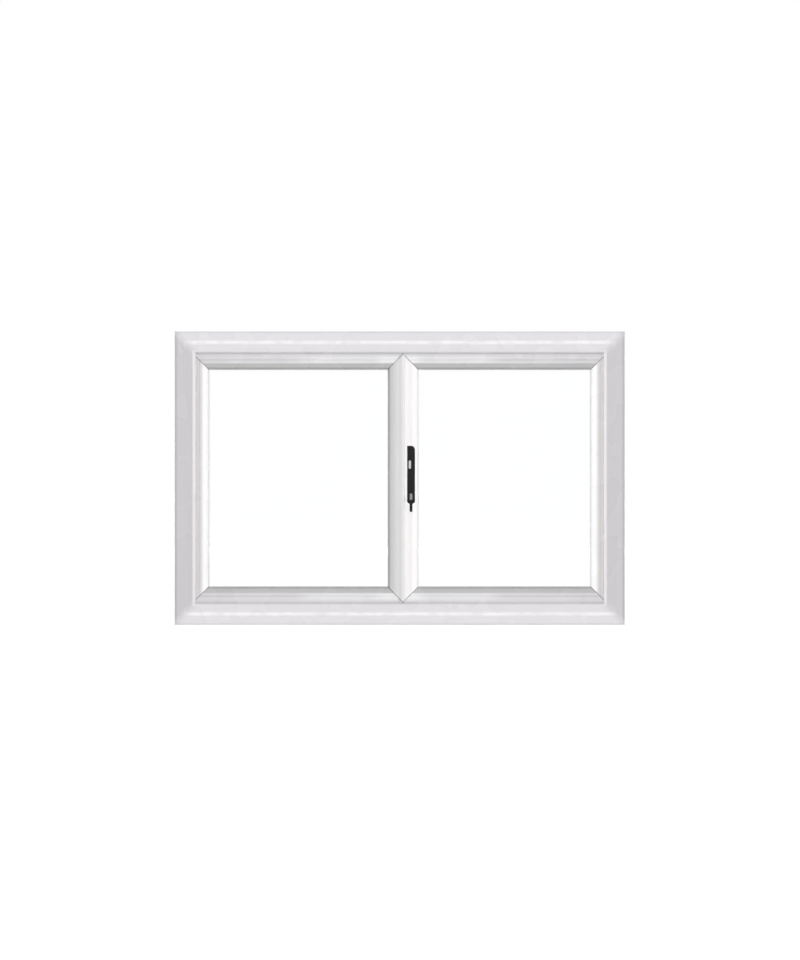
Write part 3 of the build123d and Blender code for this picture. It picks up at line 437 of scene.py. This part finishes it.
both_leaves = [fixed_glass, sash_glass]
moulding_plastic = upright_plastic("moulding_white_plastic", "meeting_astragal", MOULDING_PAINTED_SHADING, both_leaves)
meeting_plastic = upright_plastic("meeting_white_plastic", "fixed_right_bead", MEETING_PAINTED_SHADE, [fixed_glass])
lock_plastic = upright_plastic("lock_stile_white_plastic", "sash_lock_stile", LOCK_PAINTED_LIGHT, [sash_glass])

# %% [markdown]
# The other finishes are simple ones: light grey rubber, moulded packers, satin black paint, bright metal,
# powder coat, plated steel and mill aluminium. Each still has some change in tone and gloss and a fine
# bump, because even a new surface scatters light a little differently from place to place.

# %% Small finishes
SPECKLE_DETAIL = 4.0
SPECKLE_HEIGHT = 0.02 * MM


def speckled(name, dark, light, cells, roughness, metallic=0.0, gloss=0.5):
    """Finish whose tone, gloss and bump follow one noise of so many cells per metre."""
    finish = Finish(name)
    grain = finish.noise((cells, cells, cells), SPECKLE_DETAIL)
    finish.set(Base_Color=finish.ramp(grain, [(NOISE_LOW, dark), (NOISE_HIGH, light)]))
    finish.set(Roughness=finish.fade(grain, NOISE_LOW, NOISE_HIGH, *roughness))
    finish.set(Metallic=metallic, Specular_IOR_Level=gloss)
    finish.bump(grain, SPECKLE_HEIGHT)
    return finish.material


rubber = speckled("pale_grey_rubber", srgb(208, 208, 210), srgb(222, 222, 224), 900, (0.55, 0.7))
packer = speckled("moulded_packer", srgb(150, 158, 166), srgb(166, 173, 180), 300, (0.45, 0.6))
black_paint = speckled("satin_black_paint", srgb(22, 22, 23), srgb(30, 30, 31), 1400, (0.32, 0.45), gloss=0.2)
bright = speckled("bright_metal", srgb(190, 190, 192), srgb(212, 212, 213), 500, (0.18, 0.3), 1.0)
dull_bright = speckled("worn_metal", srgb(142, 142, 144), srgb(160, 160, 162), 700, (0.3, 0.45), 1.0)
powder_coat = speckled("white_powder_coat", srgb(226, 226, 226), srgb(238, 238, 238), 1100, (0.3, 0.42))
plated_steel = speckled("plated_steel", srgb(176, 178, 180), srgb(202, 204, 206), 260, (0.26, 0.42), 1.0)
mill_alloy = speckled("mill_aluminium", srgb(190, 192, 194), srgb(214, 216, 218), 420, (0.3, 0.5), 1.0)
# Painted shade: the spacer bars' holes are dark discs, not cut.
painted_hole_shade = speckled("hole_shadow", srgb(40, 40, 42), srgb(58, 58, 60), 800, (0.7, 0.8))
print("small finishes made")

# %% [markdown]
# Float glass is smooth but not perfectly flat, and a large pane has a very slow wave. Seen from the front
# it only shows as a faint change of gloss, so the wave is a weak bump, and the glass keeps an index of
# refraction that is close to the real one.

# %% Glass
PANE_WAVE_CELLS = (3, 3, 3)
PANE_WAVE_HEIGHT = 0.01 * MM
PANE_TINT = (0.995, 1, 0.998, 1)
PANE_ROUGHNESS = (0.0, 0.01)
PANE_INDEX = 1.45
glass_finish = Finish("float_glass")
wave = glass_finish.noise(PANE_WAVE_CELLS, detail=1.0)
wave_tone = glass_finish.ramp(wave, [(NOISE_LOW, PANE_TINT), (NOISE_HIGH, FULL_TONE)])
wave_gloss = glass_finish.fade(wave, NOISE_LOW, NOISE_HIGH, *PANE_ROUGHNESS)
glass_finish.set(Base_Color=wave_tone, Roughness=wave_gloss, Transmission_Weight=1.0, IOR=PANE_INDEX)
glass_finish.bump(wave, PANE_WAVE_HEIGHT)
glass = glass_finish.material
print("glass has an index of", round(glass_finish.shader.inputs["IOR"].default_value, 3))

# %% [markdown]
# Each CAD node already has a material slot. Putting a finish into that slot changes the look and leaves
# the shape alone. The first table goes from a finish to the nodes that wear it, and the second one lists
# what both leaves have.

# %% Put the finishes on the CAD nodes
wearers = {
    frame_plastic: ["frame_head", "frame_sill", "frame_left_jamb", "frame_right_jamb"],
    fixed_plastic: ["fixed_jamb_stile", "fixed_left_bead"],
    sash_plastic: ["sash_hinge_stile", "sash_right_bead"],
    moulding_plastic: ["meeting_astragal"],
    meeting_plastic: ["fixed_meeting_stile", "fixed_right_bead"],
    lock_plastic: ["sash_lock_stile", "sash_left_bead"],
    glass: [],
    rubber: ["frame_weather_seal", "astragal_seal"],
    packer: ["fixed_leaf_packers"],
    mill_alloy: [],
    black_paint: ["handle_base", "handle_lever"],
    bright: ["lock_button"],
    dull_bright: ["lever_pivot_cap"],
    powder_coat: ["hinge_frame_screws", "hinge_sash_screws"],
    plated_steel: ["lower_keep", "upper_keep", "keep_screws", "gear_case", "lock_faceplate"],
}
wearers[plated_steel] += ["faceplate_screws", "fixed_leaf_screws", "drive_rod", "locking_cams"]
wearers[plated_steel] += ["spindle", "drive_pinion", "handle_screws"]
for leaf, plastic in (("fixed_", fixed_plastic), ("sash_", sash_plastic)):
    leaf_wearers = {
        plastic: ("top_rail", "bottom_rail", "top_bead", "bottom_bead"),
        glass: ("inner_pane", "outer_pane"),
        rubber: ("gaskets", "edge_seal"),
        mill_alloy: ("spacer_bar",),
        packer: ("setting_blocks",),
    }
    for finish, names in leaf_wearers.items():
        wearers[finish] += [leaf + name for name in names]
for hinge in ("lower_hinge_", "upper_hinge_"):
    wearers[powder_coat] += [hinge + "frame_leaf", hinge + "sash_leaf"]
    wearers[plated_steel].append(hinge + "pin")
for finish, names in wearers.items():
    for name in names:
        nodes[name].material_slots[0].material = finish
dressed = [name for names in wearers.values() for name in names]
print(len(dressed), "CAD nodes dressed, left over:", sorted(set(nodes) - set(dressed)))

# %% [markdown]
# Some small things repeat, or run round the window: screws, seal lips and the holes of the spacer bars.
# They could be copied by hand, but Geometry Nodes suit them better, because one tree holds the recipe and
# its named inputs hold the sizes. This class builds such a tree. Its last two nodes are always the same:
# instances become real faces, because an exported model can't keep them, and the faces get their finish.


# %% A holder for recipes
class Recipe:
    """Geometry Nodes tree with named sizes, and a short way to add its nodes."""

    def __init__(self, name, sizes):
        self.tree = bpy.data.node_groups.new(name, "GeometryNodeTree")
        face = self.tree.interface
        face.new_socket(name="Points", in_out="INPUT", socket_type="NodeSocketGeometry")
        for size in sizes:
            face.new_socket(name=size, in_out="INPUT", socket_type="NodeSocketFloat")
        face.new_socket(name="Finish", in_out="INPUT", socket_type="NodeSocketMaterial")
        face.new_socket(name="Shape", in_out="OUTPUT", socket_type="NodeSocketGeometry")
        self.given = self.tree.nodes.new("NodeGroupInput").outputs
        self.result = self.tree.nodes.new("NodeGroupOutput").inputs["Shape"]

    def add(self, kind, inputs, **settings):
        """Node whose inputs are linked or set, by name or by number."""
        node = self.tree.nodes.new(kind)
        for name, value in settings.items():
            setattr(node, name, value)
        for key, value in inputs.items():
            if isinstance(value, bpy.types.NodeSocket):
                self.tree.links.new(value, node.inputs[key])
            else:
                node.inputs[key].default_value = value
        return node.outputs

    def sum(self, operation, first, second):
        """Math on two sizes."""
        return self.add("ShaderNodeMath", {0: first, 1: second}, operation=operation)[0]

    def triple(self, x, y, z):
        """Vector of three sizes."""
        return self.add("ShaderNodeCombineXYZ", {0: x, 1: y, 2: z})[0]

    def moved(self, shape, place=(0, 0, 0), turn=(0, 0, 0)):
        """Shape moved by a vector and turned by angles."""
        inputs = {"Geometry": shape, "Translation": place, "Rotation": turn}
        return self.add("GeometryNodeTransform", inputs)[0]

    def together(self, *shapes):
        """Several shapes as one."""
        node = self.tree.nodes.new("GeometryNodeJoinGeometry")
        for shape in shapes:
            self.tree.links.new(shape, node.inputs[0])
        return node.outputs[0]

    def ring(self):
        """Rectangle of the recipe's ring width and height, whose normals lie in its plane."""
        inputs = {"Width": self.given["Ring width"], "Height": self.given["Ring height"]}
        curve = self.add("GeometryNodeCurvePrimitiveQuadrilateral", inputs)["Curve"]
        return self.add("GeometryNodeSetCurveNormal", {"Curve": curve}, mode="Z_UP")["Curve"]

    def on_points(self, shape, **more):
        """A copy of a shape on every given point, as real faces in their finish."""
        inputs = {"Points": self.given["Points"], "Instance": shape, **more}
        copies = self.add("GeometryNodeInstanceOnPoints", inputs)["Instances"]
        real = self.add("GeometryNodeRealizeInstances", {"Geometry": copies})[0]
        finish = {"Geometry": real, "Material": self.given["Finish"]}
        self.tree.links.new(self.add("GeometryNodeSetMaterial", finish)[0], self.result)
        print(self.tree.name, "has", len(self.tree.nodes), "nodes")


print("a recipe can", [name for name in vars(Recipe) if not name.startswith("_")])

# %% [markdown]
# A recipe is only a plan. A modifier runs it on a mesh of bare points, and the result is copied into a
# plain mesh, because the model that leaves Blender knows no modifiers. Then the piece takes the place of
# its CAD node: it rides on the same body, and the node is hidden.

# %% From a recipe to a piece
MERGE_DISTANCE = 0.001 * MM
SHARP_ANGLE = math.radians(40)


def grow(name, recipe, points, sizes, finish, aims=()):
    """Plain mesh object that a recipe makes on points. With aims, each point has a direction."""
    mesh = bpy.data.meshes.new(name)
    mesh.from_pydata(points, [], [])
    if aims:
        aim = mesh.attributes.new("aim", "FLOAT_VECTOR", "POINT")
        aim.data.foreach_set("vector", [number for direction in aims for number in direction])
    piece = bpy.data.objects.new(name, mesh)
    bpy.context.scene.collection.objects.link(piece)
    modifier = piece.modifiers.new("recipe", "NODES")
    modifier.node_group = recipe.tree
    values = {**sizes, "Finish": finish}
    for socket in recipe.tree.interface.items_tree:
        if socket.in_out == "INPUT" and socket.name in values:
            modifier[socket.identifier] = values[socket.name]
    evaluated = piece.evaluated_get(bpy.context.evaluated_depsgraph_get())
    made = bpy.data.meshes.new_from_object(evaluated)
    piece.modifiers.remove(modifier)
    piece.data = made
    return piece


def one_mesh(pieces):
    """First of some pieces, with all their faces, merged, turned outwards and shaded smooth where round."""
    shape = bmesh.new()
    for piece in pieces:
        shape.from_mesh(piece.data)
    bmesh.ops.remove_doubles(shape, verts=shape.verts, dist=MERGE_DISTANCE)
    bmesh.ops.recalc_face_normals(shape, faces=shape.faces)
    shape.to_mesh(pieces[0].data)
    shape.free()
    for piece in pieces[1:]:
        bpy.data.objects.remove(piece)
    pieces[0].data.shade_smooth()
    pieces[0].data.set_sharp_from_angle(angle=SHARP_ANGLE)
    return pieces[0]


def take_over(piece, node):
    """Let a piece stand for a CAD node: it rides on the node's body, and the node is hidden."""
    for body, names in frame["record"]["behaviour"]["bodies"].items():
        if node in names:
            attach(piece, body)
    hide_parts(node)
    print(piece.name, "has", len(piece.data.polygons), "faces and stands for", node)


print("edges over", round(math.degrees(SHARP_ANGLE)), "degrees stay sharp")

# %% [markdown]
# A wood screw has a round countersunk head with a cross recess, and the CAD model only has a plain
# eight-sided blank in its place. The recipe makes one screw along Z, cuts the cross with two booleans, and
# puts a copy on each point. The wings of the cross differ a little in depth, so that the two cuts share no
# floor. Every copy lines up with its own aim and has a seeded spin, because nobody stops all screws at one
# angle.

# %% Cross-head screws
HEAD_SIDES = 24
SHANK_SIDES = 16
WING_LENGTH = 1.25
WING_WIDTH = 0.26
WINGS = ((0.65, 0), (0.6, math.pi / 2))
SPIN_LEAST, SPIN_MOST, SPIN_RESULT = 2, 3, 1
SPIN_SEED = 7
screw_recipe = Recipe("cross_head_screw", ["Head radius", "Shank radius", "Head height", "Length"])
head_radius = screw_recipe.given["Head radius"]
head_height = screw_recipe.given["Head height"]
shank_radius = screw_recipe.given["Shank radius"]
head_inputs = {"Vertices": HEAD_SIDES, "Depth": head_height}
head_inputs.update({"Radius Bottom": head_radius, "Radius Top": shank_radius})
head = screw_recipe.add("GeometryNodeMeshCone", head_inputs)["Mesh"]
for wing_depth, wing_turn in WINGS:
    wing_size = screw_recipe.triple(
        screw_recipe.sum("MULTIPLY", head_radius, WING_LENGTH),
        screw_recipe.sum("MULTIPLY", head_radius, WING_WIDTH),
        screw_recipe.sum("MULTIPLY", head_height, 2 * wing_depth),
    )
    wing = screw_recipe.add("GeometryNodeMeshCube", {"Size": wing_size})["Mesh"]
    wing = screw_recipe.moved(wing, turn=(0, 0, wing_turn))
    operands = {"Mesh 1": head, "Mesh 2": wing}
    head = screw_recipe.add("GeometryNodeMeshBoolean", operands, operation="DIFFERENCE")["Mesh"]
shank_length = screw_recipe.sum("SUBTRACT", screw_recipe.given["Length"], head_height)
shank_middle = screw_recipe.sum("ADD", head_height, screw_recipe.sum("MULTIPLY", shank_length, 0.5))
shank_inputs = {"Vertices": SHANK_SIDES, "Depth": shank_length, "Radius": shank_radius}
shank = screw_recipe.add("GeometryNodeMeshCylinder", shank_inputs)["Mesh"]
shank = screw_recipe.moved(shank, place=screw_recipe.triple(0.0, 0.0, shank_middle))
aim_node = "GeometryNodeInputNamedAttribute"
aim = screw_recipe.add(aim_node, {"Name": "aim"}, data_type="FLOAT_VECTOR")["Attribute"]
turn = screw_recipe.add("FunctionNodeAlignRotationToVector", {"Vector": aim}, axis="Z")["Rotation"]
spin_inputs = {SPIN_LEAST: 0.0, SPIN_MOST: math.pi / 2, "Seed": SPIN_SEED}
spin = screw_recipe.add("FunctionNodeRandomValue", spin_inputs)[SPIN_RESULT]
twist_inputs = {"Axis": (0, 0, 1), "Angle": spin}
twist = screw_recipe.add("FunctionNodeAxisAngleToRotation", twist_inputs)["Rotation"]
turn_inputs = {0: turn, 1: twist}
turn = screw_recipe.add("FunctionNodeRotateRotation", turn_inputs, rotation_space="LOCAL")["Rotation"]
screw_recipe.on_points(screw_recipe.together(head, shank), Rotation=turn)

# %% [markdown]
# Where do the screws sit? A CAD node of screws holds several separate solids. Growing a group of joined
# vertices until nothing more touches it finds each solid, and the box round it gives the middle of its
# head. The head is at the end that the screw's aim points away from. The vertices wait in a dictionary,
# which keeps the mesh's own order, so every run finds the solids in the same order and gives each screw
# the same spin.


# %% Find the solids of a CAD node
def solids_in(node):
    """Corner points of every separate solid in a CAD node."""
    shape = bmesh.new()
    shape.from_mesh(nodes[node].data)
    bmesh.ops.remove_doubles(shape, verts=shape.verts, dist=MERGE_DISTANCE)
    waiting = dict.fromkeys(shape.verts)
    solids = []
    while waiting:
        found = [waiting.popitem()[0]]
        for vertex in found:
            for edge in vertex.link_edges:
                other = edge.other_vert(vertex)
                if other in waiting:
                    del waiting[other]
                    found.append(other)
        solids.append([vertex.co.copy() for vertex in found])
    shape.free()
    return solids


def box_round(points):
    """Lowest and highest corner of some points."""
    low = Vector([min(point[axis] for point in points) for axis in range(3)])
    high = Vector([max(point[axis] for point in points) for axis in range(3)])
    return low, high


def outward_from(opening, middle):
    """Direction away from an opening, along X or Z."""
    aside = abs(middle.x - opening.middle.x) - opening.half_width
    above = abs(middle.z - opening.middle.z) - opening.half_height
    if aside > above:
        return Vector((math.copysign(1, middle.x - opening.middle.x), 0, 0))
    return Vector((0, 0, math.copysign(1, middle.z - opening.middle.z)))


print("the fixed leaf has", len(solids_in("fixed_leaf_screws")), "screws")

# %% [markdown]
# Each set of screws is driven in one direction: the hinge screws towards the room, the handle's screws
# outdoors, and the screws of the keeps and the faceplate sideways. Only the screws of the fixed leaf
# differ, and point away from its glass. Screws of one length are grown together, and then joined to one
# piece.

# %% Put screws in place of the CAD blanks
WOOD_SCREW = (4.0 * MM, 2.0 * MM, 2.0 * MM)
SMALL_SCREW = (2.9 * MM, 1.6 * MM, 1.3 * MM)
INDOORS, OUTDOORS = (0, -1, 0), (0, 1, 0)
LEFT, RIGHT = (-1, 0, 0), (1, 0, 0)
LENGTH_DIGITS = 5


def screws_for(node, aim, sizes, finish):
    """Cross-head screws in place of a node. Without an aim they point away from the fixed glass."""
    places = {}
    for solid in solids_in(node):
        low, high = box_round(solid)
        middle = (low + high) / 2
        direction = Vector(aim) if aim else outward_from(fixed_glass, middle)
        length = abs((high - low).dot(direction))
        head_place = middle - direction * length / 2
        places.setdefault(round(length, LENGTH_DIGITS), []).append((head_place, direction))
    named = dict(zip(("Head radius", "Shank radius", "Head height"), sizes))
    name = node.replace("screws", "cross_screws")
    pieces = []
    for length, screws in places.items():
        points, aims = zip(*screws)
        pieces.append(grow(name, screw_recipe, points, {**named, "Length": length}, finish, aims))
    take_over(one_mesh(pieces), node)


screws_for("fixed_leaf_screws", None, WOOD_SCREW, plated_steel)
screws_for("hinge_frame_screws", INDOORS, WOOD_SCREW, powder_coat)
screws_for("hinge_sash_screws", INDOORS, WOOD_SCREW, powder_coat)
screws_for("keep_screws", LEFT, SMALL_SCREW, plated_steel)
screws_for("faceplate_screws", RIGHT, SMALL_SCREW, plated_steel)
screws_for("handle_screws", OUTDOORS, SMALL_SCREW, black_paint)

# %% [markdown]
# The glass is held between two rubber lips, and a soft bulb runs round the frame behind its inner edge.
# Each is one profile swept round a rectangle. The sweep lays the profile across each corner at 45
# degrees, so the profile is made wider by the square root of two, and the straight runs get their true
# width back. A point in the middle of the opening, one for every lip, says how deep in the window the
# ring lies.

# %% Swept lips
ROUND_STEPS = 6
STAND_UP = (math.pi / 2, 0, 0)
lip_recipe = Recipe("swept_lip", ["Ring width", "Ring height", "Across", "Thick", "Round"])
profile_inputs = {"Width": lip_recipe.given["Across"], "Height": lip_recipe.given["Thick"]}
profile = lip_recipe.add("GeometryNodeCurvePrimitiveQuadrilateral", profile_inputs)["Curve"]
fillet_inputs = {"Curve": profile, "Count": ROUND_STEPS, "Limit Radius": True}
fillet_inputs["Radius"] = lip_recipe.given["Round"]
profile = lip_recipe.add("GeometryNodeFilletCurve", fillet_inputs, mode="POLY")["Curve"]
stretch = {"Geometry": profile, "Scale": (math.sqrt(2), 1, 1)}
profile = lip_recipe.add("GeometryNodeTransform", stretch)["Geometry"]
sweep = {"Curve": lip_recipe.ring(), "Profile Curve": profile}
lip = lip_recipe.add("GeometryNodeCurveToMesh", sweep)["Mesh"]
lip_recipe.on_points(lip_recipe.moved(lip, turn=STAND_UP))

# %% [markdown]
# The CAD rings have square edges. Their sizes are measured solid by solid, because the inner and the
# outer gasket of a leaf differ, and each lip gets the size of its ring with rounded edges.

# %% Put lips in place of the CAD rings
GASKET_ROUND = 0.9 * MM
SEAL_ROUND = 1.3 * MM


def ring_size(solid, opening):
    """Inner half width, outer half width and height, and depths of a rectangular ring."""
    low, high = box_round(solid)
    inner = min(abs(point.x - opening.middle.x) for point in solid)
    return inner, (high.x - low.x) / 2, (high.z - low.z) / 2, low.y, high.y


def lips_for(node, name, opening, roundness):
    """Swept lips in place of the rectangular rings of a CAD node."""
    pieces = []
    for solid in solids_in(node):
        inner, half_width, half_height, near, far = ring_size(solid, opening)
        across = half_width - inner
        sizes = {"Ring width": 2 * half_width - across, "Ring height": 2 * half_height - across}
        sizes.update({"Across": across, "Thick": far - near, "Round": roundness})
        middle = Vector((opening.middle.x, (near + far) / 2, opening.middle.z))
        pieces.append(grow(name, lip_recipe, [middle], sizes, rubber))
    take_over(one_mesh(pieces), node)


lips_for("fixed_gaskets", "fixed_gasket_lips", fixed_glass, GASKET_ROUND)
lips_for("sash_gaskets", "sash_gasket_lips", sash_glass, GASKET_ROUND)
lips_for("frame_weather_seal", "frame_seal_bulb", lip_opening, SEAL_ROUND)

# %% [markdown]
# The aluminium bar that keeps two panes apart is filled with drying beads, and rows of tiny holes let
# them reach the air between the panes. The holes show when one looks into the edge of the glass. Cutting
# hundreds of them is heavy, so each is a thin dark disc of painted shade, standing in for the shade
# inside a hole, laid on the bar's inner face by stepping along the same kind of ring.

# %% Spacer bar holes
HOLE_SIDES = 8
HOLE_SIZES = {"Pitch": 6 * MM, "Radius": 0.6 * MM, "Thick": 0.1 * MM}
ROW_SHIFT = 4 * MM
hole_recipe = Recipe("spacer_holes", ["Ring width", "Ring height", "Pitch", "Radius", "Thick"])
step_inputs = {"Curve": hole_recipe.ring(), "Length": hole_recipe.given["Pitch"]}
steps = hole_recipe.add("GeometryNodeCurveToPoints", step_inputs, mode="LENGTH")
disc_inputs = {"Vertices": HOLE_SIDES, "Radius": hole_recipe.given["Radius"]}
disc_inputs["Depth"] = hole_recipe.given["Thick"]
disc = hole_recipe.add("GeometryNodeMeshCylinder", disc_inputs)["Mesh"]
turn_inputs = {"Vector": steps["Normal"]}
turn = hole_recipe.add("FunctionNodeAlignRotationToVector", turn_inputs, axis="Z")["Rotation"]
row_inputs = {"Points": steps["Points"], "Instance": disc, "Rotation": turn}
row = hole_recipe.add("GeometryNodeInstanceOnPoints", row_inputs)["Instances"]
hole_recipe.on_points(hole_recipe.moved(row, turn=STAND_UP))


def holes_for(leaf, opening, body):
    """Two rows of dark discs of painted shade, standing for holes, on a spacer bar."""
    bar = solids_in(leaf + "_spacer_bar")[0]
    inner, half_width, half_height, near, far = ring_size(bar, opening)
    inner_height = half_height - half_width + inner
    middle = (near + far) / 2
    depths = (middle - ROW_SHIFT, middle + ROW_SHIFT)
    rows = [Vector((opening.middle.x, depth, opening.middle.z)) for depth in depths]
    sizes = {"Ring width": 2 * inner, "Ring height": 2 * inner_height, **HOLE_SIZES}
    piece = grow(leaf + "_spacer_holes", hole_recipe, rows, sizes, painted_hole_shade)
    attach(piece, body)
    print(piece.name, "has", len(piece.data.polygons), "faces")


holes_for("fixed", fixed_glass, "frame")
holes_for("sash", sash_glass, "sash")

# %% [markdown]
# The photograph looks straight at the room side from far away, so the camera has a long lens and stands
# far back. A short lens close by would show the inner sides of the frame, which the photograph doesn't.

# %% Camera
LENS, SENSOR_WIDTH = 120, 36
CAMERA_DISTANCE = 8.53
CAMERA_AIM = Vector((0.0008, 0, 0.386))
room_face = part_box("frame_head")[0].y
camera_data = bpy.data.cameras.new("room_camera")
camera_data.lens = LENS
camera_data.sensor_width = SENSOR_WIDTH
camera = bpy.data.objects.new("room_camera", camera_data)
camera.location = CAMERA_AIM + Vector((0, room_face - CAMERA_DISTANCE, 0))
camera.rotation_euler = (math.radians(90), 0, 0)
bpy.context.scene.collection.objects.link(camera)
bpy.context.scene.camera = camera
print("camera at", [round(v, 3) for v in camera.location])

# %% [markdown]
# The light is plain. A soft lamp behind the camera lights the room side without shadows to the left or
# right, and another one does the same outdoors. Both stay out of the picture, of gloss and of the glass,
# because a lamp on the camera's line would shine back from there. Two lamps far out at the sides graze
# the window: they brighten the slopes that face sideways and leave those that face up and down a little
# darker.

# %% Lamps
MIDDLE_HEIGHT = (cad_box[0][2] + cad_box[1][2]) / 2
LAMP_DEPTH, LAMP_WIDTH = 9.6, 2.0
ROOM_WATTS, OUTDOOR_WATTS, SIDE_WATTS = 560, 400, 170
SIDE_REACH, SIDE_DEPTH, SIDE_HEIGHT = 6, -0.6, 0.45
SIDE_LAMP_SIZE = (0.9, 1.4)
window_middle = (0, 0, MIDDLE_HEIGHT)


def soft_lamp(name, place, size, watts):
    """Rectangular lamp that faces the middle of the window."""
    data = bpy.data.lights.new(name, "AREA")
    data.shape = "RECTANGLE"
    data.size, data.size_y = size
    data.energy = watts
    lamp = bpy.data.objects.new(name, data)
    lamp.location = place
    lamp.rotation_euler = (Vector(window_middle) - Vector(place)).to_track_quat("-Z", "Y").to_euler()
    bpy.context.scene.collection.objects.link(lamp)
    return lamp


far_lamps = (("room_lamp", -LAMP_DEPTH, ROOM_WATTS), ("outdoor_lamp", LAMP_DEPTH, OUTDOOR_WATTS))
for name, depth, watts in far_lamps:
    lamp = soft_lamp(name, (0, depth, MIDDLE_HEIGHT), (LAMP_WIDTH, LAMP_WIDTH), watts)
    lamp.visible_camera = False
    lamp.visible_glossy = False
    lamp.visible_transmission = False
for side in (-1, 1):
    soft_lamp("side_lamp", (side * SIDE_REACH, SIDE_DEPTH, SIDE_HEIGHT), SIDE_LAMP_SIZE, SIDE_WATTS)

# %% [markdown]
# The photographed handle leaves no shade on the white plastic beside it, because light reaches that
# plastic from all around. Four lamps can't do that in such a narrow corner, so the handle's pieces let
# their light pass.

# %% Handle without a shade
for name in ("handle_base", "handle_lever", "lever_pivot_cap", "lock_button"):
    nodes[name].visible_shadow = False
    nodes[name].visible_diffuse = False
print("no shade from", nodes["handle_lever"].name, "and the pieces round it")

# %% [markdown]
# The background is white. To a camera, glossy or glass ray the world shows plain white, and to all other
# rays it is a weak fill, so the white isn't extra light on the window.

# %% World
FILL = 0.5
bpy.context.scene.view_settings.view_transform = "Standard"
world = bpy.data.worlds.new("white_studio")
bpy.context.scene.world = world
world.use_nodes = True


def seen_directly(tree):
    """1 for rays that show the background, 0 for rays that light the object."""
    path = tree.nodes.new("ShaderNodeLightPath")
    total = path.outputs["Is Camera Ray"]
    for name in ("Is Glossy Ray", "Is Transmission Ray"):
        node = tree.nodes.new("ShaderNodeMath")
        node.operation = "MAXIMUM"
        tree.links.new(total, node.inputs[0])
        tree.links.new(path.outputs[name], node.inputs[1])
        total = node.outputs[0]
    return total


background = world.node_tree.nodes["Background"]
background.inputs["Color"].default_value = (1, 1, 1, 1)
fill = world.node_tree.nodes.new("ShaderNodeMapRange")
world.node_tree.links.new(seen_directly(world.node_tree), fill.inputs["Value"])
fill.inputs["To Min"].default_value = FILL
fill.inputs["To Max"].default_value = 1.0
world.node_tree.links.new(fill.outputs[0], background.inputs["Strength"])
print("the world fills with", FILL, "of its white")

# %% [markdown]
# The floor is white paper. To the same rays it glows, so that it melts into the background, but it keeps
# a share of its real shading, so that the window still casts a soft shadow on it.

# %% Floor
FLOOR_WIDTH = 40
PAPER_COLOUR = (0.72, 0.72, 0.72, 1)
PAPER_ROUGHNESS = 0.9
PAPER_GLOW, GLOW_SHARE = 1.1, 0.88
bpy.ops.mesh.primitive_plane_add(size=FLOOR_WIDTH)
floor = bpy.context.object
floor.name = "paper_floor"
paper = bpy.data.materials.new("white_paper")
paper.use_nodes = True
paper_tree = paper.node_tree
paper_shader = paper_tree.nodes["Principled BSDF"]
paper_shader.inputs["Base Color"].default_value = PAPER_COLOUR
paper_shader.inputs["Roughness"].default_value = PAPER_ROUGHNESS
glow = paper_tree.nodes.new("ShaderNodeEmission")
glow.inputs["Strength"].default_value = PAPER_GLOW
share = paper_tree.nodes.new("ShaderNodeMapRange")
share.inputs["To Max"].default_value = GLOW_SHARE
paper_tree.links.new(seen_directly(paper_tree), share.inputs["Value"])
blend = paper_tree.nodes.new("ShaderNodeMixShader")
paper_tree.links.new(share.outputs[0], blend.inputs["Fac"])
paper_tree.links.new(paper_shader.outputs[0], blend.inputs[1])
paper_tree.links.new(glow.outputs[0], blend.inputs[2])
paper_tree.links.new(blend.outputs[0], paper_tree.nodes["Material Output"].inputs["Surface"])
floor.data.materials.append(paper)
print("floor is", floor.dimensions.x, "m wide")

# %% [markdown]
